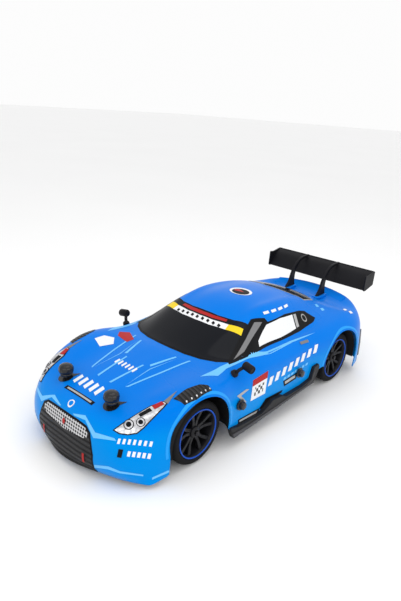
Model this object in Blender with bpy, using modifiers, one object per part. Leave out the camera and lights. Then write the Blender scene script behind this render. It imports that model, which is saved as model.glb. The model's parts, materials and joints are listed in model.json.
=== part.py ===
"""Radio-controlled 1:16 touring car: painted shell over a four-wheel-drive chassis.

Metres, +X forward, +Y to the car's left, +Z up. The origin is on the ground under the
middle of the overall length. Sizes below are in millimetres and are scaled by MM.
"""
import math

import bmesh
import bpy
from mathutils import Matrix, Vector

MM = 0.001

# Driving dimensions, millimetres.
WHEELBASE = 174.0
FRONT_AXLE = 89.0
REAR_AXLE = FRONT_AXLE - WHEELBASE
WHEEL_RADIUS = 22.0
RIM_RADIUS = 17.0
ARCH_RADIUS = 27.0
SHELL_WALL = 0.8
GAP = 0.3
FLOOR_LOW, FLOOR_HIGH = 6.0, 8.0
TUB_HALF = 34.0
HINGE_Y, HINGE_Z = 18.0, 12.0
KINGPIN_Y = 36.5
SPUR_X, SPUR_RADIUS = -14.0, 11.8
MOTOR_OFFSET = 15.75
MOTOR_RADIUS = 12.2
SERVO_AXIS = (58.0, -19.0)
TIE_BAR_X = 72.0
POST_X, POST_Y = 131.0, 24.0
SIDE_KNOBS_X = (51.0, -22.0)
SIDE_KNOB_Z = 30.0
WING_HALF = 53.5
SPLIT_LOW = 21.8

for old in list(bpy.data.objects):
    bpy.data.objects.remove(old)

model = bpy.data.collections.new("touring_car")
tools = bpy.data.collections.new("cutters")
bpy.context.scene.collection.children.link(model)
bpy.context.scene.collection.children.link(tools)


def material(name, colour, roughness, metallic=0.0):
    made = bpy.data.materials.new(name)
    made.use_nodes = True
    shader = made.node_tree.nodes["Principled BSDF"]
    shader.inputs["Base Color"].default_value = (*colour, 1.0)
    shader.inputs["Roughness"].default_value = roughness
    shader.inputs["Metallic"].default_value = metallic
    return made


BLUE = material("painted_shell_blue", (0.01, 0.19, 0.80), 0.22)
BLACK = material("moulded_nylon_black", (0.02, 0.02, 0.022), 0.5)
SATIN = material("satin_black", (0.015, 0.015, 0.017), 0.35)
RUBBER = material("tyre_rubber", (0.02, 0.02, 0.02), 0.8)
RIM_BLACK = material("wheel_black", (0.02, 0.02, 0.022), 0.3)
STEEL = material("turned_steel", (0.55, 0.55, 0.56), 0.3, 1.0)
GEAR = material("gear_nylon", (0.75, 0.75, 0.72), 0.5)
CAN = material("motor_can", (0.6, 0.6, 0.62), 0.35, 1.0)
CELL = material("battery_wrap", (0.03, 0.25, 0.08), 0.4)
CASE = material("electronics_case", (0.05, 0.05, 0.06), 0.45)


def placed(obj, name, mat, collection=model):
    """Names an object, gives it its material and moves it to its collection."""
    for held in list(obj.users_collection):
        held.objects.unlink(obj)
    collection.objects.link(obj)
    obj.name = name
    obj.data.materials.clear()
    if mat:
        obj.data.materials.append(mat)
    return obj


def cutter(obj, name):
    placed(obj, name, None, tools)
    obj.hide_render = True
    obj.display_type = "WIRE"
    return obj


def block(name, mat, xs, ys, zs, bevel=0.0):
    """A box between two x, two y and two z values."""
    bpy.ops.mesh.primitive_cube_add(size=1.0)
    obj = bpy.context.object
    middle = Vector([(a + b) / 2 * MM for a, b in (xs, ys, zs)])
    size = [abs(b - a) * MM for a, b in (xs, ys, zs)]
    obj.data.transform(Matrix.Diagonal((*size, 1.0)))
    obj.location = middle
    if bevel:
        rounding = obj.modifiers.new("edges", "BEVEL")
        rounding.width = bevel * MM
        rounding.segments = 2
    return placed(obj, name, mat)


def rod(name, mat, start, end, radius, sides=16, end_radius=None):
    """A cylinder or cone frustum between two points."""
    a, b = Vector(start) * MM, Vector(end) * MM
    top = radius if end_radius is None else end_radius
    bpy.ops.mesh.primitive_cone_add(
        vertices=sides, radius1=radius * MM, radius2=top * MM, depth=(b - a).length
    )
    obj = bpy.context.object
    obj.location = (a + b) / 2
    obj.rotation_mode = "QUATERNION"
    obj.rotation_quaternion = (b - a).to_track_quat("Z", "Y")
    obj.data.shade_smooth()
    obj.data.set_sharp_from_angle(angle=math.radians(40))
    return placed(obj, name, mat)


def turned(name, mat, profile, centre, side, steps=28):
    """A ring or solid turned about the Y axis; profile is (radius, offset along side*Y)."""
    mesh = bpy.data.meshes.new(name)
    obj = bpy.data.objects.new(name, mesh)
    points = [(r * MM, 0.0, offset * MM) for r, offset in profile]
    count = len(points)
    closed = profile[0][0] > 0
    links = [(i, i + 1) for i in range(count - 1)] + ([(count - 1, 0)] if closed else [])
    mesh.from_pydata(points, links, [])
    spin = obj.modifiers.new("turn", "SCREW")
    spin.steps = spin.render_steps = steps
    spin.use_merge_vertices = True
    spin.merge_threshold = 0.00001
    spin.use_smooth_shade = True
    obj.location = Vector(centre) * MM
    obj.rotation_euler = (math.radians(-90 * side), 0.0, 0.0)
    return placed(obj, name, mat)


def flat(name, mat, outlines, low, high, plane="XY"):
    """Closed outlines filled (inner ones are holes) and extruded from low to high."""
    curve = bpy.data.curves.new(name, "CURVE")
    curve.dimensions = "2D"
    curve.fill_mode = "BOTH"
    curve.extrude = (high - low) / 2 * MM
    for outline in outlines:
        line = curve.splines.new("POLY")
        line.points.add(len(outline) - 1)
        for point, (u, v) in zip(line.points, outline):
            point.co = (u * MM, v * MM, 0.0, 1.0)
        line.use_cyclic_u = True
    obj = bpy.data.objects.new(name, curve)
    bpy.context.scene.collection.objects.link(obj)
    middle = (low + high) / 2 * MM
    if plane == "XY":
        obj.location.z = middle
    elif plane == "XZ":
        obj.rotation_euler.x = math.radians(90)
        obj.location.y = middle
    else:
        obj.rotation_euler = (math.radians(90), 0.0, math.radians(90))
        obj.location.x = middle
    bpy.context.view_layer.update()
    solid = bpy.data.meshes.new_from_object(obj.evaluated_get(bpy.context.evaluated_depsgraph_get()))
    form = bmesh.new()
    form.from_mesh(solid)
    bmesh.ops.remove_doubles(form, verts=form.verts, dist=0.00001)
    bmesh.ops.recalc_face_normals(form, faces=form.faces)
    form.to_mesh(solid)
    form.free()
    result = bpy.data.objects.new(name, solid)
    result.matrix_world = obj.matrix_world
    bpy.data.objects.remove(obj)
    return placed(result, name, mat)


def combine(target, others, operation):
    for index, other in enumerate(others):
        cutter(other, f"{target.name}_{operation.lower()}_{index}_{len(target.modifiers)}")
        step = target.modifiers.new(operation.lower(), "BOOLEAN")
        step.operation = operation
        step.object = other
    return target


def joined(target, *others):
    return combine(target, others, "UNION")


def bored(target, *others):
    return combine(target, others, "DIFFERENCE")


def origin_at(obj, point):
    """Moves an object's origin to a point without moving its shape."""
    bpy.context.view_layer.update()
    place = Vector(point) * MM
    obj.data.transform(Matrix.Translation(-place) @ obj.matrix_world)
    obj.matrix_world = Matrix.Translation(place)
    return obj


# ---------------------------------------------------------------- painted shell
# Half sections from the nose to the tail. Each runs from the centre line out over the
# shoulder and down to the sill, as x, y, z points that the finished surface passes through.
SECTIONS = [
    [(151, 0, 4), (150, 10, 4), (147.4, 20, 4), (143.6, 30, 3.5), (139.4, 40, 3), (134.9, 49, 2.8),
     (131.2, 55, 2.8), (128, 58.9, 3), (122.5, 60.4, 4), (117.5, 61, 4.5)],
    [(151, 0, 12), (150.9, 10, 12), (150.2, 20, 12), (148.3, 30, 12), (144.8, 40.3, 11.5),
     (139.7, 48.8, 11.5), (132.5, 55.3, 11), (125.6, 59.1, 10.5), (119.5, 61, 9.5), (116, 61.8, 6)],
    [(149.5, 0, 24), (149.5, 10, 24), (149.2, 20, 24), (148.2, 30, 24), (145.4, 40, 24), (140, 48.6, 24),
     (132, 55.3, 23.5), (122, 60.1, 20), (115.5, 62.3, 13), (113, 62.5, 6)],
    [(147.5, 0, 34), (147.4, 9, 34), (147, 18, 34), (146.2, 27.5, 34), (143.2, 38, 34.5),
     (136.6, 47.4, 35), (127.6, 55.2, 34), (117, 61, 28), (111, 63.5, 17), (109, 63.5, 6)],
    [(143.5, 0, 40), (143.3, 9, 40), (142.5, 18, 40), (140.4, 27, 40), (136.4, 37, 41), (128.6, 47.3, 43.5),
     (118.4, 57, 43), (109, 62.5, 34), (105, 64.8, 20), (104, 64.3, 6)],
    [(134, 0, 43.5), (133.5, 9, 43.5), (132, 18, 43.5), (129, 27, 43.8), (124, 36, 45),
     (116, 47, 48), (108, 58.5, 48), (101, 64.2, 38), (98, 65.7, 21), (97, 65.2, 6)],
    [(118, 0, 47.5), (117.5, 9, 47.5), (116.5, 18, 47.2), (114, 27, 47.2), (110, 36, 48.6),
     (103, 47, 52), (97, 59.3, 51.5), (93, 65, 41), (91, 66.3, 22), (90, 65.5, 6)],
    [(101, 0, 50.8), (100.5, 9, 50.8), (99.5, 18, 50.5), (97.5, 27, 50.5), (94, 36, 51.8),
     (89.5, 47, 54), (86, 59.3, 53), (83, 65, 42.5), (82, 66, 23), (82, 65.5, 6)],
    [(84, 0, 53.5), (84, 9, 53.5), (83, 18, 53.2), (81.5, 27, 53), (79, 36, 53.6), (76, 47, 54.5),
     (74, 58.5, 52.5), (72, 64, 42), (71, 65, 26), (70, 64.5, 17)],
    [(70, 0, 55.6), (70, 9, 55.5), (69, 18, 55.2), (67.5, 27, 54.8), (65.5, 36.5, 54.4),
     (63.5, 47, 54), (62.5, 57, 51), (61.5, 62, 42), (61, 63, 26), (60, 63, 14)],
    [(58, 0, 57.6), (57.7, 10, 57.5), (56.8, 20, 57), (55, 30, 56.2), (50, 42, 55), (50, 49, 54),
     (50, 56.5, 50.5), (50, 61, 42), (50, 62, 26), (50, 62, 9.2)],
    [(32, 0, 69), (31, 13, 68.8), (30, 26, 67.8), (27.5, 38, 65), (30, 50, 56), (30, 54, 53.5),
     (30, 58.5, 49.5), (30, 61, 42), (30, 61.5, 26), (30, 61.5, 11)],
    [(6, 0, 79), (5.5, 12.5, 78.6), (4.5, 25, 77), (4, 35.5, 73.5), (8, 48.5, 56.5), (8, 54, 53.5),
     (8, 59, 49), (8, 61, 42), (8, 61.5, 26), (8, 61.5, 13.2)],
    [(-18, 0, 81), (-18, 12.5, 80.6), (-18, 25, 79), (-18, 35.5, 75.3), (-16, 48.5, 57),
     (-16, 54.5, 53.5), (-16, 59.5, 48.5), (-16, 61.3, 42), (-16, 61.7, 26), (-16, 61.7, 15.2)],
    [(-42, 0, 80), (-42, 12, 79.6), (-42, 24, 78), (-42, 34, 74), (-40, 47.5, 57.5),
     (-40, 54.5, 54.3), (-40, 60, 49.5), (-40, 62, 42), (-40, 62.3, 28), (-40, 62.2, 17)],
    [(-64, 0, 76.5), (-64, 11.5, 76), (-64, 23, 74.3), (-64, 32.5, 70.2), (-60, 46.5, 59),
     (-60, 55, 55.5), (-61, 61.5, 50.5), (-61, 64.3, 42), (-60, 64.5, 32), (-58.5, 64.2, 24)],
    [(-85, 0, 70.5), (-85, 11.5, 70), (-85, 22.5, 68.3), (-84, 32.5, 64.8), (-82, 45, 59.5),
     (-82, 56, 56.5), (-82, 63, 51), (-82, 66, 42), (-81, 66.3, 25), (-80, 66, 6)],
    [(-106, 0, 62), (-106, 11.5, 61.7), (-105, 23, 61), (-104, 34, 60), (-102, 45, 59.2),
     (-100, 56, 57.3), (-98, 63.5, 51.5), (-96, 66.3, 42), (-95, 66.5, 25), (-95, 66, 6)],
    [(-123, 0, 58.2), (-122.5, 12, 58.2), (-121.5, 24, 58), (-119.5, 36, 57.8), (-116.5, 46.5, 57.6),
     (-113, 56, 56.5), (-110, 63, 50.5), (-107, 65.5, 42), (-106, 66, 25), (-105, 65.5, 6)],
    [(-139, 0, 62.5), (-138.5, 12, 62.4), (-137, 24, 62), (-134, 36, 60.8), (-129, 46.5, 58.5),
     (-123.5, 55, 54.5), (-120, 60.5, 48.5), (-117, 63.5, 40), (-116, 64.5, 24), (-114, 64, 7)],
    [(-143, 0, 57), (-142.6, 12, 57), (-141, 24, 56.5), (-138, 36, 55.2), (-133, 46, 52.5),
     (-128, 54, 48), (-125, 58.5, 42), (-123, 61, 34), (-121.5, 62.5, 21), (-120, 62.5, 7)],
    [(-144.5, 0, 40), (-144, 12, 40), (-142.5, 24, 39.5), (-139.5, 36, 38.5), (-135, 45.5, 37),
     (-130.5, 53, 34), (-128, 57, 30), (-126.5, 59.5, 24), (-125.5, 61, 16), (-124, 61.5, 7)],
    [(-145, 0, 24), (-144.5, 12, 24), (-143, 24, 24), (-140, 35.5, 23.5), (-136, 45, 22.5),
     (-132, 52, 21), (-129.5, 56, 19), (-128, 58.5, 16), (-127, 60, 12), (-126, 60.8, 7)],
    [(-144, 0, 9), (-143.5, 12, 9), (-142, 24, 9), (-139, 35, 9), (-135.5, 44, 9), (-132, 51, 9),
     (-130, 55, 9), (-129, 57.5, 8.5), (-128, 59, 8), (-127, 60, 7)],
]


def fitted(targets, rounds=10):
    """A cage whose subdivided surface passes through the targets, found by repeated correction."""
    rows, columns = len(targets), len(targets[0])
    cage = [[Vector(p) for p in row] for row in targets]

    def at(i, j):
        if j < 0:
            x, y, z = cage[i][-j]
            return Vector((x, -y, z))
        return cage[i][j]

    def surface(i, j):
        end_row, end_column = i in (0, rows - 1), j == columns - 1
        if end_row and end_column:
            near = at(i, j - 1) + at(1 if i == 0 else rows - 2, j)
            return (near + 4 * cage[i][j]) / 6
        if end_row:
            return (at(i, j - 1) + at(i, j + 1) + 4 * cage[i][j]) / 6
        if end_column:
            return (at(i - 1, j) + at(i + 1, j) + 4 * cage[i][j]) / 6
        sides = at(i - 1, j) + at(i + 1, j) + at(i, j - 1) + at(i, j + 1)
        corners = at(i - 1, j - 1) + at(i - 1, j + 1) + at(i + 1, j - 1) + at(i + 1, j + 1)
        return (16 * cage[i][j] + 4 * sides + corners) / 36

    for _ in range(rounds):
        error = [[Vector(targets[i][j]) - surface(i, j) for j in range(columns)] for i in range(rows)]
        for i in range(rows):
            for j in range(columns):
                cage[i][j] += error[i][j]
            cage[i][0].y = 0.0
    return cage


def body_shell():
    cage = fitted(SECTIONS)
    rows, columns = len(cage), len(cage[0])
    points = [p * MM for row in cage for p in row]
    faces = [
        (i * columns + j, i * columns + j + 1, (i + 1) * columns + j + 1, (i + 1) * columns + j)
        for i in range(rows - 1)
        for j in range(columns - 1)
    ]
    mesh = bpy.data.meshes.new("body_shell")
    mesh.from_pydata(points, [], faces)
    shell = placed(bpy.data.objects.new("body_shell", mesh), "body_shell", BLUE)
    mirror = shell.modifiers.new("halves", "MIRROR")
    mirror.use_axis = (False, True, False)
    mirror.merge_threshold = 0.00001
    round_off = shell.modifiers.new("round_off", "SUBSURF")
    round_off.levels = round_off.render_levels = 1
    wall = shell.modifiers.new("wall", "SOLIDIFY")
    wall.thickness = SHELL_WALL * MM
    wall.offset = -1.0
    cuts = []
    for x in (FRONT_AXLE, REAR_AXLE):
        for side in (1, -1):
            start, end = (x, side * 57, WHEEL_RADIUS), (x, side * 75, WHEEL_RADIUS)
            cuts.append(rod("arch", None, start, end, ARCH_RADIUS, 32))
            cuts.append(block("arch_foot", None, (x - ARCH_RADIUS, x + ARCH_RADIUS),
                              (side * 57, side * 75), (-5, WHEEL_RADIUS)))
    for side in (1, -1):
        hole = (POST_X, side * POST_Y)
        cuts.append(rod("post_hole", None, (*hole, 35), (*hole, 55), 2.6, 12))
        for x in SIDE_KNOBS_X:
            cuts.append(rod("knob_hole", None, (x, side * 55, SIDE_KNOB_Z),
                            (x, side * 70, SIDE_KNOB_Z), 1.8, 12))
    bored(shell, *cuts)
    mesh.shade_smooth()
    return shell


body_shell()


# ------------------------------------------------ wing, mirrors, skirts and knobs
def rear_wing():
    """A steeply raked blade between two end plates, moulded in one piece."""
    blade = [(-134.0, 71.5), (-137.2, 76.2), (-140.6, 80.6), (-144.4, 84.2), (-150.3, 86.8),
             (-150.9, 85.9), (-145.4, 82.6), (-142.0, 79.2), (-138.8, 75.0), (-135.6, 70.9)]
    wing = flat("rear_wing", SATIN, [blade], -WING_HALF + 1.2, WING_HALF - 1.2, "XZ")
    plate = [(-133.0, 72.0), (-133.6, 84.8), (-134.4, 85.6), (-139, 85.0), (-150.6, 87.2), (-151.1, 86.8),
             (-150.5, 74.6), (-149.8, 73.9), (-136.0, 70.5), (-133.8, 70.9)]
    ends = [flat("end", None, [plate], *sorted((side * (WING_HALF - 1.4), side * WING_HALF)), "XZ")
            for side in (1, -1)]
    return joined(wing, *ends)


def wing_stand(side, name):
    """A swan-neck post from its foot on the boot lid, round the front of the blade and over its top."""
    outline = [(-127.8, 60.0), (-122, 58.6), (-116, 59.0), (-112.5, 59.7), (-112.3, 60.8), (-118, 66), (-121, 74),
               (-126, 81.5), (-133, 86.4), (-140, 88.0), (-148.6, 88.3), (-148.4, 86.6), (-144.2, 84.8),
               (-140.2, 84.7), (-134, 83.6), (-129, 78.5), (-126, 72), (-126.3, 64.5)]
    y = side * 16.9
    return flat(name, SATIN, [outline], y - 1.3, y + 1.3, "XZ")


def mirror(side, name):
    """A round pod across the car, on a bent arm from the base of the windscreen pillar."""
    pod = rod(name, SATIN, (47.6, side * 60.2, 58.2), (48.2, side * 68.4, 56.8), 3.0, 16)
    arm = rod("arm", None, (51, side * 57.8, 53.4), (48.2, side * 62.0, 57.4), 1.2, 8)
    foot = rod("foot", None, (52, side * 57.2, 51.9), (50.8, side * 57.8, 54.6), 1.9, 10)
    return joined(pod, arm, foot)


def side_skirt(side, name):
    """The black board along the sill, with a raised rear fin ahead of the rear wheel."""
    outline = [(57.6, 6.9), (62, 16.5), (52.7, 14.6), (27, 14.2), (20.1, 16.8), (13.1, 20.4), (0.9, 19.4),
               (-3.5, 17.0), (-26, 17.4), (-38.4, 19.6), (-41.1, 29.1), (-47.7, 30.4), (-49.8, 27.0),
               (-43.6, 14.6), (-25.3, 13.6), (47.6, 7.6)]
    y = sorted((side * 64.0, side * 65.8))
    return flat(name, BLACK, [outline], *y, "XZ")


def knob_shape(foot, head, radius, name, mat):
    """A fluted thumb knob with a collar, along the line from foot to head."""
    foot, head = Vector(foot), Vector(head)
    along = (head - foot).normalized()
    body = rod(name, mat, foot, head, radius, 12, radius * 0.86)
    collar = rod("collar", None, foot - along * 0.2, foot + along * 1.0, radius * 1.45, 14)
    return joined(body, collar)


rear_wing()
for side, word in ((1, "left"), (-1, "right")):
    wing_stand(side, f"wing_stand_{word}")
    mirror(side, f"mirror_{word}")
    side_skirt(side, f"side_skirt_{word}")
    hood = rod(f"hood_knob_{word}", SATIN, (POST_X, side * POST_Y, 45.1), (POST_X, side * POST_Y, 51.2), 5.3, 16, 5.0)
    joined(hood, rod("crown", None, (POST_X, side * POST_Y, 51.0), (POST_X, side * POST_Y, 54.8), 5.0, 16, 3.0))
    bored(hood, rod("hood_bore", None, (POST_X, side * POST_Y, 40), (POST_X, side * POST_Y, 50.6), 1.9, 12))

for place, x in zip(("front", "rear"), SIDE_KNOBS_X):
    for side, word in ((1, "left"), (-1, "right")):
        head = knob_shape((x, side * 62.8, SIDE_KNOB_Z), (x, side * 66.6, SIDE_KNOB_Z), 3.0,
                          f"side_knob_{place}_{word}", SATIN)
        joined(head, rod("shank", None, (x, side * 56, SIDE_KNOB_Z), (x, side * 64, SIDE_KNOB_Z), 1.2, 10))


# ---------------------------------------------------------------- chassis tub
def chassis_pan():
    """Floor plate, tub walls, lower halves of both gearboxes and the sill brackets."""
    half = [(66, TUB_HALF), (74, 16.4), (126, 15.0)]
    back = [(-120, 15.2), (-72, 16.0), (-64, TUB_HALF)]
    left = back + half
    outline = [(x, y) for x, y in left] + [(x, -y) for x, y in reversed(left)]
    pan = flat("chassis_pan", BLACK, [outline], FLOOR_LOW, FLOOR_HIGH)
    inner = [(-58, TUB_HALF - 2), (62, TUB_HALF - 2), (62, 2 - TUB_HALF), (-58, 2 - TUB_HALF)]
    edge = TUB_HALF - 0.4
    rim = [(-62, edge), (65, edge), (65, -edge), (-62, -edge)]
    walls = flat("walls", None, [rim, inner], FLOOR_HIGH - 0.5, 18)
    adds = [walls]
    cuts = []
    for axle, way in ((FRONT_AXLE, 1), (REAR_AXLE, -1)):
        near, far = axle - way * 14, axle + way * 14.5
        adds.append(block("gear_case", None, sorted((near, far)), (-12.5, 12.5), (7.5, SPLIT_LOW)))
        cuts.append(block("gear_room", None, (axle - 10.5, axle + 10.5), (-9.8, 9.8), (10.5, 25)))
        cuts.append(rod("axle_way", None, (axle, -16, 22), (axle, 16, 22), 3.9, 16))
        cuts.append(rod("shaft_way", None, (axle - way * 18, 0, 22), (axle - way * 8, 0, 22), 3.3, 16))
        for x in (axle - way * 12.8, axle + way * 13.3):
            for side in (1, -1):
                adds.append(block("lug", None, (x - 1.1, x + 1.1), sorted((side * 11, side * 20.5)), (7.5, 14.8)))
                cuts.append(rod("pin_way", None, (x - 3, side * HINGE_Y, HINGE_Z),
                                (x + 3, side * HINGE_Y, HINGE_Z), 1.3, 10))
    for x in SIDE_KNOBS_X:
        for side in (1, -1):
            reach = sorted((side * (TUB_HALF - 1.2), side * 60.5))
            adds.append(block("sill_bracket", None, (x - 3.2, x + 3.2), reach, (15.5, 18.8)))
            upright = sorted((side * 57.0, side * 60.5))
            adds.append(block("upright", None, (x - 3.1, x + 3.1), upright, (16.0, SIDE_KNOB_Z + 3.0)))
            room = sorted((side * 56, side * 61.5))
            cuts.append(block("slot", None, (x - 1.6, x + 1.6), room, (SIDE_KNOB_Z - 1.7, SIDE_KNOB_Z + 5)))
    # slot of the power switch
    cuts.append(block("switch_slot", None, (36, 45), (8, 12.6), (5, 8.5)))
    joined(pan, *adds)
    return bored(pan, *cuts)


def gearbox_cover(axle, way, name):
    """Upper half of a gearbox, screwed down over the differential."""
    near, far = axle - way * 14, axle + way * 14.5
    cover = block(name, BLACK, sorted((near, far)), (-12.5, 12.5), (SPLIT_LOW + GAP, 35.0), 1.0)
    room = block("room", None, (axle - 10.5, axle + 10.5), (-9.8, 9.8), (20, 33.0))
    axle_way = rod("axle_way", None, (axle, -16, 22), (axle, 16, 22), 3.9, 16)
    shaft_way = rod("shaft_way", None, (axle - way * 18, 0, 22), (axle - way * 8, 0, 22), 3.3, 16)
    return bored(cover, room, axle_way, shaft_way)


def shock_line(axle, way, side):
    """Top and bottom points of a shock absorber."""
    x = axle + way * 9.2
    return Vector((x, side * 20.0, 42.0)), Vector((x, side * 30.5, 16.6))


def shock_tower(axle, way, name):
    """Plate across the gearbox with the two shock cylinders hung from its shoulders."""
    low, high = sorted((axle + way * 14.8, axle + way * 17.0))
    outline = [(-12, 24), (12, 24), (14, 34), (24, 40), (24, 45), (16, 46.5), (8, 40), (-8, 40),
               (-16, 46.5), (-24, 45), (-24, 40), (-14, 34)]
    tower = flat(name, BLACK, [outline], low, high, "YZ")
    pieces = []
    for side in (1, -1):
        top, bottom = shock_line(axle, way, side)
        down = (bottom - top).normalized()
        pieces.append(rod("stud", None, (axle + way * 15.5, top.y, top.z), (top.x - way * 1.5, top.y, top.z), 1.8, 10))
        pieces.append(rod("barrel", None, top - down * 2.2, top + down * 12.0, 2.3, 12))
        pieces.append(rod("cap", None, top - down * 2.2, top + down * 1.6, 4.3, 14))
    return joined(tower, *pieces)


chassis_pan()
gearbox_cover(FRONT_AXLE, 1, "front_gearbox_cover")
gearbox_cover(REAR_AXLE, -1, "rear_gearbox_cover")
shock_tower(FRONT_AXLE, 1, "front_shock_tower")
shock_tower(REAR_AXLE, -1, "rear_shock_tower")

beam_half = [(112, 16), (118, 34), (127, 37), (134, 33), (137.5, 18)]
beam_outline = beam_half + [(x, -y) for x, y in reversed(beam_half)]
beam = flat("front_bumper_beam", BLACK, [beam_outline], FLOOR_HIGH + GAP, 14.5)
joined(beam, *[rod("post", None, (POST_X - 1, side * POST_Y, 14), (POST_X, side * POST_Y, 50), 3.2, 12, 1.2)
               for side in (1, -1)])

motor_x = (-50.0, -19.0)
can = rod("drive_motor", CAN, (motor_x[0], -MOTOR_OFFSET, 22), (motor_x[1], -MOTOR_OFFSET, 22), MOTOR_RADIUS, 24)
joined(can, rod("end_boss", None, (motor_x[0] - 3, -MOTOR_OFFSET, 22), (motor_x[0] + 2, -MOTOR_OFFSET, 22), 4.5, 12))
mount_outline = [(-31, FLOOR_HIGH + GAP), (4, FLOOR_HIGH + GAP), (4, 27), (-3, 35), (-29, 35), (-31, 32)]
plate = flat("motor_mount", CASE, [mount_outline], -18.7, -17.2, "YZ")
bored(plate, rod("boss_hole", None, (-20, -MOTOR_OFFSET, 22), (-16, -MOTOR_OFFSET, 22), 3.0, 12),
      rod("shaft_hole", None, (-20, 0, 22), (-16, 0, 22), 2.4, 12))

block("battery_pack", CELL, (-40, 30), (13.8, 31.2), (FLOOR_HIGH + GAP, 25.5), 3.0)
block("receiver_box", CASE, (-8, 34), (-31, -5), (FLOOR_HIGH + GAP, 19.5), 0.8)
servo = block("steering_servo", CASE, (42, 61.5), (-29, -9), (FLOOR_HIGH + GAP, 24.5), 0.6)
joined(servo, rod("spline", None, (*SERVO_AXIS, 24), (*SERVO_AXIS, 26.7), 3.0, 14))
origin_at(block("power_switch", GEAR, (37.5, 41.5), (8.3, 12.3), (6.2, 8.2)), (39.5, 10.3, 7.2))


# ---------------------------------------------------------------- drive train
def differential(axle, name):
    """Case, bevel ring and two output cups about the axle line."""
    case = rod(name, STEEL, (axle, -9.2, 22), (axle, 9.2, 22), 4.6, 16)
    ring = rod("ring", None, (axle, 3.6, 22), (axle, 7.6, 22), 9.4, 24, 8.2)
    cups = rod("cups", None, (axle, -13.4, 22), (axle, 13.4, 22), 3.4, 14)
    return origin_at(joined(case, ring, cups), (axle, 0, 22))


differential(FRONT_AXLE, "front_differential")
differential(REAR_AXLE, "rear_differential")
front_end, rear_end = FRONT_AXLE - 5.4, REAR_AXLE + 5.4
line = rod("centre_shaft", STEEL, (rear_end + 1, 0, 22), (front_end - 1, 0, 22), 1.7, 12)
joined(line, rod("front_pinion", None, (front_end - 4, 0, 22), (front_end, 0, 22), 3.0, 14, 2.2),
       rod("rear_pinion", None, (rear_end + 4, 0, 22), (rear_end, 0, 22), 3.0, 14, 2.2),
       rod("spur", None, (SPUR_X - 2, 0, 22), (SPUR_X + 2, 0, 22), SPUR_RADIUS, 24),
       rod("spur_hub", None, (SPUR_X - 2.8, 0, 22), (SPUR_X + 5, 0, 22), 4.2, 16))
origin_at(line, (SPUR_X, 0, 22))
pinion = rod("motor_pinion", STEEL, (-16.6, -MOTOR_OFFSET, 22), (-11.6, -MOTOR_OFFSET, 22), 3.55, 16)
joined(pinion, rod("motor_shaft", None, (-18.6, -MOTOR_OFFSET, 22), (-11, -MOTOR_OFFSET, 22), 1.2, 10))
origin_at(pinion, (-14, -MOTOR_OFFSET, 22))


# ---------------------------------------------------------------- suspension and steering
def suspension_arm(axle, way, side, name, steered):
    """Lower wishbone with its upright moulded on."""
    inner = (HINGE_Y - 2.6) * side
    wide, narrow = (axle - 11.2, axle + 11.7) if way > 0 else (axle - 11.7, axle + 11.2), 6.5
    root = [(wide[0], inner), (wide[1], inner), (wide[1], side * 22)]
    shock_x = axle + way * 9.2
    tip = [(max(axle + narrow, shock_x + 2.4), side * 33), (min(axle - narrow, shock_x - 2.4), side * 33),
           (wide[0], side * 22)]
    arm = flat(name, BLACK, [root + tip], 10.4, 13.6)
    room = [(axle - 6, side * 21.5), (axle + 6, side * 21.5), (axle + 3.2, side * 29), (axle - 3.2, side * 29)]
    tube = rod("tube", None, (wide[0], side * HINGE_Y, HINGE_Z), (wide[1], side * HINGE_Y, HINGE_Z), 2.8, 14)
    adds, cuts = [tube], [flat("window", None, [room], 9, 15)]
    pin = rod("pin_way", None, (wide[0] - 1, side * HINGE_Y, HINGE_Z), (wide[1] + 1, side * HINGE_Y, HINGE_Z), 1.3, 10)
    if steered:
        adds.append(block("web", None, (axle - 3.4, axle + 3.4), sorted((side * 29.3, side * 32.2)), (10.4, 34)))
        for low, high in ((10.4, 13.0), (31.4, 34.0)):
            adds.append(block("lug", None, (axle - 3.4, axle + 3.4), sorted((side * 29.5, side * 39.6)), (low, high)))
        cuts.append(rod("drive_way", None, (axle, side * 27, 22), (axle, side * 33.5, 22), 3.2, 14))
    else:
        adds.append(block("upright", None, (axle - 5.5, axle + 5.5), sorted((side * 32.0, side * 38.6)), (10.4, 28.5)))
        cuts.append(rod("drive_way", None, (axle, side * 27, 22), (axle, side * 42, 22), 2.6, 14))
    adds.append(rod("eye", None, (shock_x, side * 30.5, 12.6), (shock_x, side * 30.5, 15.0), 2.2, 12))
    joined(arm, *adds)
    bored(arm, *cuts, pin)
    return origin_at(arm, (axle, side * HINGE_Y, HINGE_Z))


def shock_rod(axle, way, side, name):
    """Piston rod and spring seat that ride on the arm."""
    top, bottom = shock_line(axle, way, side)
    up = (top - bottom).normalized()
    seat = rod(name, STEEL, bottom, bottom + up * 1.4, 4.1, 14)
    joined(seat, rod("stem", None, bottom + up * 1.0, bottom + up * 9.0, 1.1, 10))
    return origin_at(seat, bottom)


def spring(axle, way, side, name):
    """Coil spring round a shock, one wire wound in a loop."""
    top, bottom = shock_line(axle, way, side)
    up = (top - bottom).normalized()
    low, high = bottom + up * 2.3, top - up * 2.5
    across = Vector((1, 0, 0))
    other = up.cross(across)
    turns, per_turn, radius = 4, 6, 3.3
    curve = bpy.data.curves.new(name, "CURVE")
    curve.dimensions = "3D"
    curve.bevel_depth = 0.45 * MM
    curve.bevel_resolution = 1
    curve.use_fill_caps = True
    wire = curve.splines.new("POLY")
    count = turns * per_turn
    wire.points.add(count)
    for step, point in enumerate(wire.points):
        angle = 2 * math.pi * step / per_turn
        middle = low.lerp(high, step / count)
        place = middle + radius * (math.cos(angle) * across + math.sin(angle) * other)
        point.co = (*(place * MM), 1.0)
    return placed(bpy.data.objects.new(name, curve), name, STEEL)


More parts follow.
